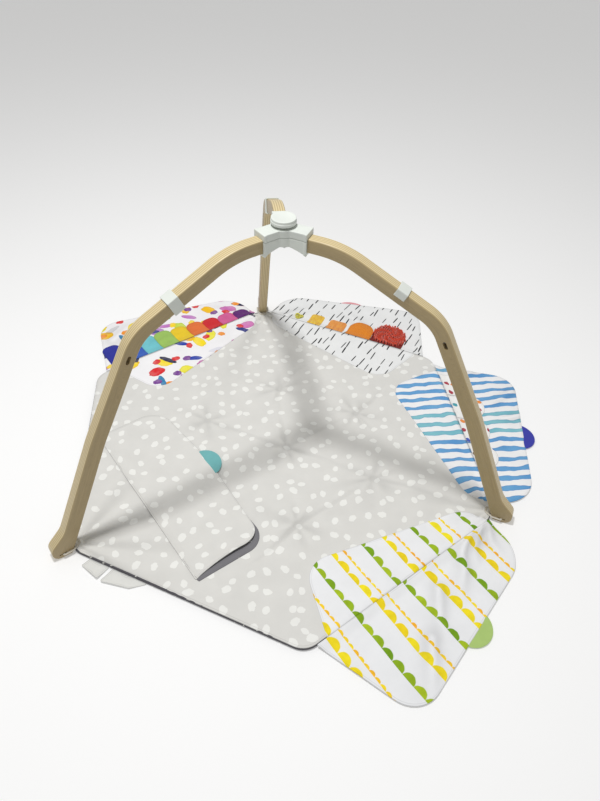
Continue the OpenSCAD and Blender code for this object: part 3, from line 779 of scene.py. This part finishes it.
def rows_of(uv, period, start, radius, chord, first, second, seed):
    """Rows of half-round scallops square to the seam: with d the distance past a row's line and a the
    place along it within one chord, a point is in a scallop where (2a / chord)^2 + (d / radius)^2 < 1."""
    part = add(uv, "SeparateXYZ", {0: uv})
    past = part[0] - start + (noise(uv, 0.16, 1.0) * 0.012 - 0.006)
    row = past // period
    d = past - row * period
    along = (part[1] + row * (0.37 * chord)) / chord
    number = along // 1
    a = (along - number - 0.5) * 2.0
    pick = add(uv, "CombineXYZ", {0: row, 1: number, 2: float(seed)})[0]
    lot = add(uv, "SeparateColor", {0: add(uv, "TexWhiteNoise", {0: pick})["Color"]})
    bulge = d / radius / (lot[0] * 0.25 + 0.85)
    reach = (a ** 2.0 + bulge ** 2.0) ** 0.5 + (noise(uv, radius * 0.7, 1.0) * 0.16 - 0.08)
    return under(reach, 0.98, 0.05), mix(lot[1], first, second) * (noise(uv, radius, 3.0) * 0.5 + 0.75)


def scallop_print(uv):
    """Rows of green, yellow and thin orange-yellow scallops on white, drawn closer on the mat's half."""
    part = add(uv, "SeparateXYZ", {0: uv})
    closer = (part[0] - 0.122) * (under(part[1], 0.0, 0.0001) * 0.114)
    uv = add(uv, "CombineXYZ", {0: part[0] + closer, 1: part[1]})[0]
    colour = rgb(238, 239, 241)
    for args in ((0.129, -0.007, 0.0145, 0.029, rgb(104, 154, 18), rgb(178, 200, 34), 1),
                 (0.129, 0.046, 0.0165, 0.034, rgb(246, 232, 36), rgb(240, 212, 24), 2),
                 (0.129, 0.075, 0.0065, 0.0155, rgb(250, 226, 40), rgb(246, 176, 44), 3)):
        inside, paint = rows_of(uv, *args)
        colour = mix(inside, colour, paint)
    return colour


def wave_print(uv):
    """Wavy painted stripes square to the seam: a stripe is where |x - its line| < half its width, and
    the line and the width waver with noise along the stripe."""
    sway = noise(stretched(uv, 7, 16, 1), 1.0, 1.0) * 0.022 - 0.011
    at = (add(uv, "SeparateXYZ", {0: uv})[0] + sway) / 0.0308
    number = at // 1
    lot = add(uv, "TexWhiteNoise", {0: add(uv, "CombineXYZ", {0: number})[0]})["Color"]
    swell = noise(stretched(uv, 20, 24, 1), 1.0, 2.0) * 0.38 + 0.03
    past_rim = abs(at - number - 0.5) - swell
    blue = mix(noise(uv, 0.07, 2.0), rgb(66, 132, 200), rgb(126, 186, 224))
    teal = mix(noise(uv, 0.06, 2.0), rgb(104, 176, 196), rgb(150, 208, 214))
    paint = mix(under(add(uv, "SeparateColor", {0: lot})[0], 0.60, 0.01), teal, blue)
    paint = mix(under(abs(past_rim + 0.03), 0.03, 0.02) * 0.35, paint, rgb(50, 104, 176))
    return mix(under(past_rim, 0.0, 0.02), rgb(243, 243, 244), paint)


def stroke_print(uv):
    """Short black brush strokes, a little aslant, scattered on off-white: a point is in a stroke where
    (x / half its width)^2 + (y / half its length)^4 < 1."""
    away, lot = scatter(twisted(uv, -0.12) * (1 / 0.027, 1 / 0.047, 0), 1.0, 0.8)
    part = add(uv, "SeparateXYZ", {0: twisted(away, lot[0] * 0.35 - 0.17)})
    wide = abs(part[0]) / (lot[1] * 0.036 + 0.046)
    tall = abs(part[1]) / (lot[2] * 0.19 + 0.27)
    return mix(under(wide ** 2.0 + tall ** 4.0, 1.0, 0.25), rgb(236, 237, 237), rgb(32, 34, 36))


def dabs(uv, spacing, long, wide, shift, hues, colour):
    """One scatter of watercolour dabs over a colour: each point draws its hue by lot, and one in ten is
    left out. A dab's paint pools a little towards its rim."""
    moved = add(uv, "Mapping", {"Vector": uv, "Location": shift})[0]
    away, lot = scatter(moved, spacing, 0.75)
    reach = oval_reach(twisted(away, lot[1] * 6.3), long, wide) + (noise(moved, long * 0.4, 2.0) * 0.8 - 0.4)
    pure = add(uv, "ValToRGB", {0: lot[0]})[0]
    ramp = pure.socket.node.color_ramp
    ramp.interpolation = "CONSTANT"
    while len(ramp.elements) < len(hues):
        ramp.elements.new(0.5)
    for k, hue in enumerate(hues):
        ramp.elements[k].position, ramp.elements[k].color = k / len(hues), rgb(*hue)
    paint = mix(noise(moved, long * 0.5, 3.0) * 0.5 + 0.7, rgb(250, 246, 240), pure)
    paint = mix(under(abs(reach - 0.90), 0.06, 0.05) * 0.4, paint, pure * 0.6)
    return mix(under(reach, 0.98, 0.05) * under(lot[2], 0.90, 0.01), colour, paint)


def dab_print(uv):
    """Watercolour dabs of many hues on white: large soft ones, long strokes and small spots."""
    colour = dabs(uv, 0.064, 0.052, 0.032, (0, 0, 0), [
        (252, 210, 10), (222, 30, 40), (214, 120, 190), (240, 232, 60), (250, 196, 20), (186, 140, 204),
        (200, 220, 60), (252, 224, 20)], rgb(244, 243, 245))
    colour = dabs(uv, 0.078, 0.054, 0.017, (0.31, 0.17, 0), [
        (14, 22, 92), (24, 60, 170), (196, 120, 196), (10, 16, 70), (20, 40, 130), (40, 130, 180)], colour)
    return dabs(uv, 0.058, 0.024, 0.019, (0.73, 0.41, 0), [
        (246, 150, 40), (224, 40, 44), (250, 216, 30), (70, 160, 90), (120, 60, 150)], colour)


PRINTS = {"colours": cloth("dab_cotton", dab_print), "textures": cloth("stroke_cotton", stroke_print),
          "waves": cloth("wave_cotton", wave_print), "scallops": cloth("scallop_cotton", scallop_print)}

# Folds that show on a flap: a path in the zone's frame, how high and how wide.
FLAP_FOLDS = {
    "scallops": ((((0.487, 0.003), (0.436, 0.030), (0.405, 0.065)), 0.0085, 0.009),
                 (((0.452, 0.003), (0.403, 0.024), (0.377, 0.055), (0.315, 0.100)), 0.0100, 0.010),
                 (((0.300, 0.055), (0.254, 0.104), (0.239, 0.150)), 0.0055, 0.010),
                 (((0.215, 0.120), (0.170, 0.165), (0.131, 0.200)), 0.0045, 0.011),
                 (((0.505, 0.010), (0.480, 0.040), (0.470, 0.080)), 0.0035, 0.008)),
    "waves": ((((0.150, 0.190), (0.185, 0.120), (0.200, 0.095)), 0.0030, 0.008),
              (((0.240, 0.190), (0.250, 0.130), (0.240, 0.090)), 0.0028, 0.008),
              (((0.060, 0.100), (0.075, 0.050), (0.080, 0.020)), 0.0025, 0.008)),
    "textures": ((((0.200, 0.030), (0.260, 0.080), (0.330, 0.120)), 0.0022, 0.012),
                 (((0.470, 0.008), (0.440, 0.050), (0.400, 0.090)), 0.0028, 0.010)),
    "colours": ((((0.480, 0.012), (0.440, 0.070), (0.400, 0.120)), 0.0025, 0.012),
                (((0.100, 0.120), (0.160, 0.150), (0.230, 0.150)), 0.0022, 0.013))}


def flap_height(zone, x, y):
    """Height of a flap's printed face: it leaves the seam on top of the mat's edge, drops to the floor
    over 24 mm as a smooth step, and carries the zone's folds."""
    z = 0.0093 - 0.0054 * step(y, -0.002, 0.024) + 0.0004 * ripple(x, y, len(zone), 0.14, 0.05)
    for path, height, width in FLAP_FOLDS[zone]:
        z = z + fold(x, y, path, height, width) * step(y, 0.0, 0.012)
    return z


deep_corner, shallow_corner = (SEAM_FROM + 0.070, FLAP_DEEP), (SEAM_TO - 0.008, FLAP_SHALLOW)
flap_rim = spread(rounded([(SEAM_FROM, 0.0001), (SEAM_TO, 0.0001), shallow_corner, deep_corner],
                          [0.0004, 0.0004, 0.085, 0.062], 14), 300)
panel_rim = spread(rounded([(0.050, 0.0), (0.108, -0.152), (SEAM_TO - 0.028, -0.052), (SEAM_TO - 0.002, 0.0)],
                           [0.0004, 0.058, 0.070, 0.0004], 14), 260)
for zone, place in ZONES.items():
    def panel_top(x, y, s, place=place):
        under_it = mat_height(*place(np.c_[x, y]).T)
        return under_it + 0.0010 * (1 - step(s, 0.97, 1.0)) - (under_it - 0.0080) * step(-y, 0.010, 0.0)

    panel = pane(f"panel_{zone}_print", panel_rim, panel_top, lambda x, y, s, f=panel_top: f(x, y, 0 * s) - 0.0011,
                 22, PRINTS[zone], "root", f"print_{zone}", place)
    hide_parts(f"panel_{zone}")

    def print_top(x, y, s, zone=zone):
        return flap_height(zone, x, y) + 0.0004 * (1 - step(s, 0.95, 1.0)) * step(y, 0.0, 0.03)

    def beside_folds(x, y, zone=zone):
        """1 in the valley on both sides of a fold, where the cloth's colour takes painted shade: a wide fold less a
        narrow one.
        """
        return sum(1.5 * fold(x, y, path, 1.0, 1.9 * w) - 1.5 * fold(x, y, path, 1.0, 0.8 * w)
                   for path, _, w in FLAP_FOLDS[zone]) * step(y, 0.0, 0.006)

    def lining_top(x, y, s, zone=zone):
        return flap_height(zone, x, y) - 0.0011

    def lining_bottom(x, y, s):
        low = 0.0004 + 0.0012 * step(s, 0.965, 1.0)
        return low + 0.0076 * (1 - step(y, -0.002, 0.020))

    face = pane(f"flap_{zone}_print", flap_rim, print_top, 0.0010, 34, PRINTS[zone], f"flap_{zone}",
                f"print_{zone}", place, hold=0.85, crease=beside_folds)
    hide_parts(f"flap_{zone}")
    inner_rim = flap_rim.mean(0) + (flap_rim - flap_rim.mean(0)) * 0.997
    back = pane(f"flap_{zone}_lining", inner_rim, lining_top, lining_bottom, 30, grey_dots, f"flap_{zone}",
                "grey_dot_cloth", place, hold=0.85)
    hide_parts(f"lining_{zone}")


# ---- Folded flap ----
# The fifth flap lies folded over the mat on a seam across its left corner, grey side up. Its free corner
# is drawn back and lifted, so the dark print beneath it shows as a crescent.

SEAM_R, FOCUS_SHIFT, FOCUS_W, FOCUS_DEEP = 0.366, -0.014, 0.476, 0.172
left_way = bearing(LEG_ANGLE["left"])
seam_way = np.array([-left_way[1], left_way[0]])


def on_focus(xy):
    """The folded flap's frame: x along its seam, y towards the mat's middle."""
    return SEAM_R * left_way + (xy[:, :1] + FOCUS_SHIFT) * seam_way - xy[:, 1:2] * left_way


def drawn_back(xy):
    """The flap's frame with its free corner drawn back: x less 11 mm times (x / half width)^4 and the
    sine of the way across."""
    x, y = xy.T
    pull = 0.011 * np.clip(x / (FOCUS_W / 2), 0, 1.1) ** 4 * np.sin(np.clip(y / 0.20, 0, 1) * math.pi) ** 0.8
    return on_focus(np.c_[x - pull, y])


focus_rim = spread(rounded([
    (-0.238, 0.0004), (0.238, 0.0004), (0.240, FOCUS_DEEP - 0.006), (-0.020, FOCUS_DEEP + 0.012),
    (-0.240, FOCUS_DEEP - 0.006)], [0.0004, 0.0004, 0.048, 0.600, 0.060], 14), 300)


def lift(x, y):
    """How far the free corner stands up: 5.5 mm at the corner, falling off with distance."""
    away = ((x - 0.245) / 0.060) ** 2 + ((y - 0.125) / 0.085) ** 2
    return 0.0055 * np.exp(-away) * step(y, 0.0, 0.06)


def focus_top(x, y, s):
    """The grey face: on the mat's top and the dark half, sunk at the seam, plump between its edges."""
    under_it = mat_height(*on_focus(np.c_[x, y]).T)
    z = 0.55 * under_it + 0.45 * 0.0094 + 0.0044 * step(y, -0.004, 0.018) - 0.0010 * step(s, 0.93, 1.0)
    z = z + 0.0005 * ripple(x, y, 77, 0.16, 0.04)
    z = z - fold(x, y, ((-0.02, 0.165), (0.0, 0.11), (0.03, 0.02)), 0.0010, 0.012)
    z = z - fold(x, y, ((-0.150, 0.165), (-0.120, 0.11), (-0.09, 0.05)), 0.0008, 0.010)
    return z + 0.0004 + lift(x, y)


def focus_print_bottom(x, y, s):
    """The dark face underneath, just clear of the half that lies on the mat."""
    return focus_top(x, y, 0 * s) - 0.0042 * step(y, -0.004, 0.012) + 0.0006 * step(s, 0.93, 1.0)


focus_panel_rim = spread(rounded([
    (-0.228, 0.003), (0.244, 0.003), (0.246, FOCUS_DEEP + 0.002), (-0.226, FOCUS_DEEP - 0.014)],
    [0.002, 0.002, 0.045, 0.050], 12), 220)
FADED, FADED_DOT = rgb(124, 123, 127), rgb(214, 214, 210)
focus_dark = cloth("focus_cotton", lambda uv: spots(uv, 0.040, 0.006, 0.0035, FADED, FADED_DOT))
focus_panel = pane("panel_focus_print", focus_panel_rim,
                   lambda x, y, s: mat_height(*on_focus(np.c_[x, y]).T) + 0.0010, 0.0013, 26, focus_dark, "root",
                   "print_focus", on_focus)
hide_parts("panel_focus")
focus_face = pane("flap_focus_print", focus_rim * 0.996, lambda x, y, s: focus_print_bottom(x, y, s) + 0.0009,
                  0.0009, 32, focus_dark, "flap_focus", "print_focus", drawn_back, hold=0.85)
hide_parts("flap_focus")
focus_back = pane("flap_focus_lining", focus_rim, focus_top,
                  lambda x, y, s: focus_print_bottom(x, y, s) + 0.0010, 34, grey_dots, "flap_focus", "grey_dot_cloth",
                  drawn_back, hold=0.85)
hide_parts("lining_focus")


# ---- Pull tabs ----
# A half-round of faced felt, cut and not hemmed, sewn into the free edge of four flaps so that a small
# hand can lift them. On the textures flap nearly all of it is tucked in.

TAB_W, TAB_OUT, TAB_T = 0.080, 0.028, 0.0017
TUCKED_W, TUCKED_OUT = 0.068, 0.011


def tab_outline(w, out):
    """A segment of a circle, w wide and out high, with a short straight root."""
    r = ((w / 2) ** 2 + out ** 2) / (2 * out)
    turn = np.linspace(-1, 1, 40) * math.asin(w / 2 / r)
    arc = np.stack([r * np.sin(turn), r * np.cos(turn) - r + out], 1)
    return spread(np.vstack([arc, [(w / 2, -0.006), (-w / 2, -0.006)]]), 90)[::-1]


tab_rim = tab_outline(TAB_W, TAB_OUT)
edge_slope = math.atan2(FLAP_SHALLOW - FLAP_DEEP, shallow_corner[0] - deep_corner[0])


def felt(name, colour):
    """Faced felt: short fibres pressed flat, so its bump is noise and not a weave."""
    mat = finish_of(name, colour, 0.75, Sheen_Weight=0.3)
    uv = add(mat, "UVMap")[0]
    deep = (*[v * 0.82 for v in colour[:3]], 1)
    into(mat, Base_Color=mix(noise(uv, 0.02, 2.0), deep, colour),
         Normal=relief_from(noise(uv, 0.0008, 4.0), 0.00012))
    return mat


def at_edge(zone, x):
    """A tab's frame: at x along the zone's seam, on the flap's slanting free edge."""
    c, s = math.cos(edge_slope), math.sin(edge_slope)
    foot = np.array([x, FLAP_DEEP + (x - deep_corner[0]) * math.tan(edge_slope)])
    return lambda xy: ZONES[zone](foot + xy @ np.array([[c, s], [-s, c]]))


def pull_tab(zone, rim, low, rise, over, colour, shade, place):
    """A tab of even thickness, its rim eased, that rises towards its tip by a smooth step."""
    def face(raised, eased):
        return lambda x, y, s: low + raised + eased * step(s, 0.9, 1.0) + rise * step(y, 0.0, over)

    made = pane(f"tab_{zone}_felt", rim, face(TAB_T, -0.0004), face(0.0, 0.0003), 10,
                felt(f"felt_{zone}", rgb(*colour)), f"flap_{zone}", f"felt_{shade}", place)
    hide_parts(f"tab_{zone}")


for zone, x, colour, shade in (("textures", 0.306, (240, 160, 168), "pink"),
                               ("waves", 0.318, (44, 50, 172), "blue"),
                               ("scallops", 0.300, (178, 208, 118), "lime")):
    rim = tab_outline(TUCKED_W, TUCKED_OUT) if zone == "textures" else tab_rim
    pull_tab(zone, rim, 0.0022, -0.0004, 0.02, colour, shade, at_edge(zone, x))
pull_tab("focus", tab_rim, 0.0122, 0.0015, 0.028, (112, 184, 186), "teal",
         lambda xy: on_focus(xy + (-0.016, FOCUS_DEEP + 0.0103)))


# ---- Colour pages ----
# Nine brushed cotton pages, sewn one beside the next into the seam of the colours flap, each rounded at
# its loose end and lying a little over its neighbour.

PAGE_T, PAGE_GAP, PAGE_STACK, PAGE_LAP, PAGE_SHORT, PAGE_GROW = 0.0008, 0.0006, 0.0011, 0.0026, 0.045, 0.007
page_pitch = (SEAM_TO - SEAM_FROM - 0.038) / 9


def page_rim(x, w, l, round_end):
    """A page's outline: square at the seam, rounded at its loose end."""
    return spread(rounded([(x - w / 2, 0.0012), (x + w / 2, 0.0012), (x + w / 2, l), (x - w / 2, l)],
                          [0.0004, 0.0004, round_end, round_end], 12), 110)


def page(name, zone, x, w, l, level, mat, slot, puff=0.0010, round_end=None):
    """One page on a flap: it follows the flap's printed face, lifted by its level, and is plump by puff
    times 1 - s^2 away from its edges."""
    rim = page_rim(x, w, l, (w / 2 - 0.001) if round_end is None else round_end)

    def low(px, py, s):
        return flap_height(zone, px, py) + PAGE_GAP + level * PAGE_STACK * step(py, 0.0, 0.015)

    def high(px, py, s):
        return low(px, py, s) + PAGE_T + puff * (1 - s ** 2) * step(py, 0.0, 0.012)

    made = pane(name, rim, high, low, 14, mat, f"flap_{zone}", slot, ZONES[zone])
    return made


HUES = {"purple": (104, 42, 124), "pink": (228, 104, 164), "red": (224, 44, 52), "orange": (244, 124, 62),
        "yellow": (250, 214, 44), "green": (168, 208, 104), "cyan": (122, 210, 220), "blue": (60, 104, 200),
        "navy": (48, 54, 164)}
for k, (hue, value) in enumerate(HUES.items()):
    deep = rgb(*[v * 0.86 for v in value])
    brushed = cloth(f"brushed_{hue}", lambda uv, a=deep, b=rgb(*value): mix(noise(uv, 0.02, 4.0), a, b), 0.9)
    piece = page(f"page_{hue}_cloth", "colours", SEAM_TO - 0.012 - (k + 0.5) * page_pitch, page_pitch + PAGE_LAP,
                 PAGE_SHORT + PAGE_GROW * k, k % 2, brushed, f"page_{hue}", round_end=0.021)
    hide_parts(f"page_{hue}")


# ---- Texture pages ----
# Five things to feel, sewn into the seam of the textures flap: a knotted cord, two gathered satins, a
# corduroy arch and a mop of chenille loops.

def satin(name, dark, light):
    """Gathered satin: smooth, shiny, with puckers that run from the seam; its colour has painted shade in the low
    parts of the puckers and painted highlight on the high parts.
    """
    mat = finish_of(name, light, 0.32, Sheen_Weight=0.2)
    pucker = noise(stretched(add(mat, "UVMap")[0], 150, 55, 1), 1.0, 2.0)
    # The pucker noise sets both the bump and the colour: dark is painted shade in the hollows, light is painted
    # highlight on the ridges.
    into(mat, Base_Color=mix(pucker, dark, light), Normal=relief_from(pucker, 0.0045))
    return mat


# Each satin's dark colour is its painted shade and its light colour its painted highlight.
for name, x, w, l, dark, light in (("yellow_satin", 0.375, 0.042, 0.056, rgb(214, 140, 10), rgb(255, 226, 70)),
                                   ("orange_satin", 0.307, 0.054, 0.054, rgb(210, 100, 14), rgb(252, 186, 84))):
    piece = page(f"texture_{name}_page", "textures", x, w, l, 0, satin(name, dark, light), f"texture_{name}",
                 puff=0.0030, round_end=0.010)
    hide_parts(f"texture_{name}")


def cord_print(uv):
    """Corduroy: fine ribs along the page, darker between them."""
    rib = add(uv, "TexWave", {"Vector": uv, "Scale": WAVE / 0.0026, "Distortion": 0.4}, bands_direction="X")[1]
    return mix(rib, rgb(200, 90, 10), rgb(252, 168, 50))


corduroy = cloth("corduroy", cord_print, 0.9, pitch=0.0026, depth=0.0005)
arch = page("texture_corduroy_page", "textures", 0.232, 0.076, 0.078, 0, corduroy, "texture_corduroy",
            puff=0.0018)
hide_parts("texture_corduroy")

chenille = finish_of("chenille", rgb(190, 54, 34), 0.9, Sheen_Weight=0.5)
fuzz = noise(add(chenille, "TexCoord")["Object"], 0.0012, 3.0)
# The fuzz noise sets both the bump and the colour: the lighter red is painted highlight on the raised fuzz.
into(chenille, Base_Color=mix(fuzz, rgb(206, 48, 26), rgb(240, 96, 60)), Normal=relief_from(fuzz, 0.0006))
# The loops are strewn over a round patch by the golden angle. Each is a small arch that leans its own way,
# a flattened tube round x = its reach times cos t, z = its height times sin t.
POM_X, POM_W, LOOPS, GOLDEN_ANGLE = 0.144, 0.096, 170, 2.399963
LOOP_REACH, LOOP_HIGH, LOOP_THICK = 0.0044, 0.0085, 0.0016
n = np.arange(LOOPS)
pom_a, pom_r = n * GOLDEN_ANGLE, np.sqrt((n + 0.5) / LOOPS) * POM_W / 2
pom_y = POM_W / 2 + pom_r * np.sin(pom_a)
clear = pom_y > 0.006
pom_x, pom_y, lean = (v[clear, None, None] for v in (POM_X + pom_r * np.cos(pom_a), pom_y, pom_a * 1.7))
t, c = np.linspace(0, math.pi, 9)[:, None], np.linspace(0, 2 * math.pi, 5, endpoint=False)
reach, thick = LOOP_REACH * np.cos(t) * (1 + 0.40 * np.cos(c)), LOOP_THICK * np.sin(c)
loop_x = pom_x + np.cos(lean) * reach - np.sin(lean) * thick
loop_y = pom_y + np.sin(lean) * reach + np.cos(lean) * thick
loop_z = flap_height("textures", pom_x, pom_y) + LOOP_THICK + LOOP_HIGH * np.sin(t) * (1 + 0.30 * np.cos(c))
loop_points = np.c_[ZONES["textures"](np.c_[loop_x.ravel(), loop_y.ravel()]), loop_z.ravel()]
loop_faces = [np.concatenate([group + t.size * c.size * k for k in range(len(pom_x))])
              for group in tube_faces(t.size, c.size)]
pom = build("texture_chenille_loops", loop_points, loop_faces, chenille, "flap_textures", "texture_chenille",
            crisp=80)
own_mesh(pom)
chenille_ground = cloth("chenille_ground", rgb(120, 22, 12), 0.95)
pom_back = page("texture_chenille_page", "textures", POM_X, 0.098, 0.098, 0, chenille_ground, "texture_chenille",
                puff=0.0004)
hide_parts("texture_chenille")

knot_cord = finish_of("knot_cord", rgb(214, 212, 60), 0.7, Sheen_Weight=0.3)
place = add(knot_cord, "TexCoord")["Object"]
twist = add(knot_cord, "TexWave", {"Vector": place, "Scale": 120.0, "Distortion": 2.0},
            bands_direction="DIAGONAL")[1]
into(knot_cord, Base_Color=mix(twist, rgb(186, 176, 34), rgb(232, 226, 84)), Normal=relief_from(twist, 0.0005))
# A trefoil: x = sin u + 2 sin 2u, y = cos u - 2 cos 2u, z = -sin 3u, laid on the flap by the seam.
u = np.linspace(0, 2 * math.pi, 160, endpoint=False)
line = np.stack([0.0042 * (np.sin(u) + 2 * np.sin(2 * u)) + 0.431,
                 0.0050 * (np.cos(u) - 2 * np.cos(2 * u)) + 0.0215, -0.0011 * np.sin(3 * u)], 1)
forward = np.roll(line, -1, 0) - np.roll(line, 1, 0)
sideways = np.cross(forward, (0, 0, 1.0))
above = np.cross(sideways, forward)
sideways, above = (v[:, None, :] / np.linalg.norm(v, axis=1)[:, None, None] for v in (sideways, above))
v = np.linspace(0, 2 * math.pi, 10, endpoint=False)[:, None]
skin = (line[:, None, :] + 0.0021 * (np.cos(v) * sideways + np.sin(v) * above)).reshape(-1, 3)
skin[:, 2] += flap_height("textures", skin[:, 0], skin[:, 1]) + 0.0030
knot = build("texture_knot_cord", np.c_[ZONES["textures"](skin[:, :2]), skin[:, 2]], [grid_faces(160, 10, True)],
             knot_cord, "flap_textures", "texture_knot", crisp=80)
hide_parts("texture_knot")
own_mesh(knot)


# ---- Peek pages ----
# Four half-round pages of white cotton, two layers sewn and turned, printed with coloured spots. They are
# sewn side by side into the seam of the waves flap and lie on its outer half.

def peek_print(uv):
    """White with a few painted spots of strong colour."""
    return dabs(uv, 0.036, 0.015, 0.013, (0.12, 0.55, 0), [
        (126, 186, 40), (50, 84, 190), (176, 30, 60), (240, 140, 50), (96, 60, 40), (60, 160, 176)],
        rgb(247, 246, 244))


peek_cotton = cloth("peek_cotton", peek_print)
for name, x, w, l in (("first", 0.112, 0.084, 0.084), ("second", 0.199, 0.086, 0.090),
                      ("third", 0.286, 0.084, 0.074), ("fourth", 0.372, 0.080, 0.066)):
    piece = page(f"peek_{name}_page", "waves", x, w, l, 0, peek_cotton, "peek_white", puff=0.0012)
    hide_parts(f"peek_{name}")


# ---- Care labels ----
# Two leaves of coated white tape, heat-cut and left blank. They are sewn into the mat's edge beside the
# left leg and curl up a little at their loose ends.

tape = cloth("label_tape", rgb(226, 226, 222), 0.6)
for name, corners in (("long", [(0.112, 0.0004), (0.196, 0.0004), (0.168, 0.024), (0.106, 0.035)]),
                      ("short", [(0.056, 0.0004), (0.104, 0.0004), (0.098, 0.033), (0.050, 0.020)])):
    rim = spread(rounded([np.array(c) for c in corners], [0.0004, 0.0004, 0.003, 0.003], 5), 70)
    curl = 0.0035 if name == "long" else 0.005

    def leaf(x, y, s, curl=curl):
        return 0.0010 + curl * step(y, 0.004, 0.034) ** 2 + 0.0004 * np.sin(x * 160)

    label = pane(f"care_label_{name}_leaf", rim, leaf, 0.0005, 10, tape, "root", "label_white",
                 on_side(4, 3, True))
    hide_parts(f"care_label_{name}")
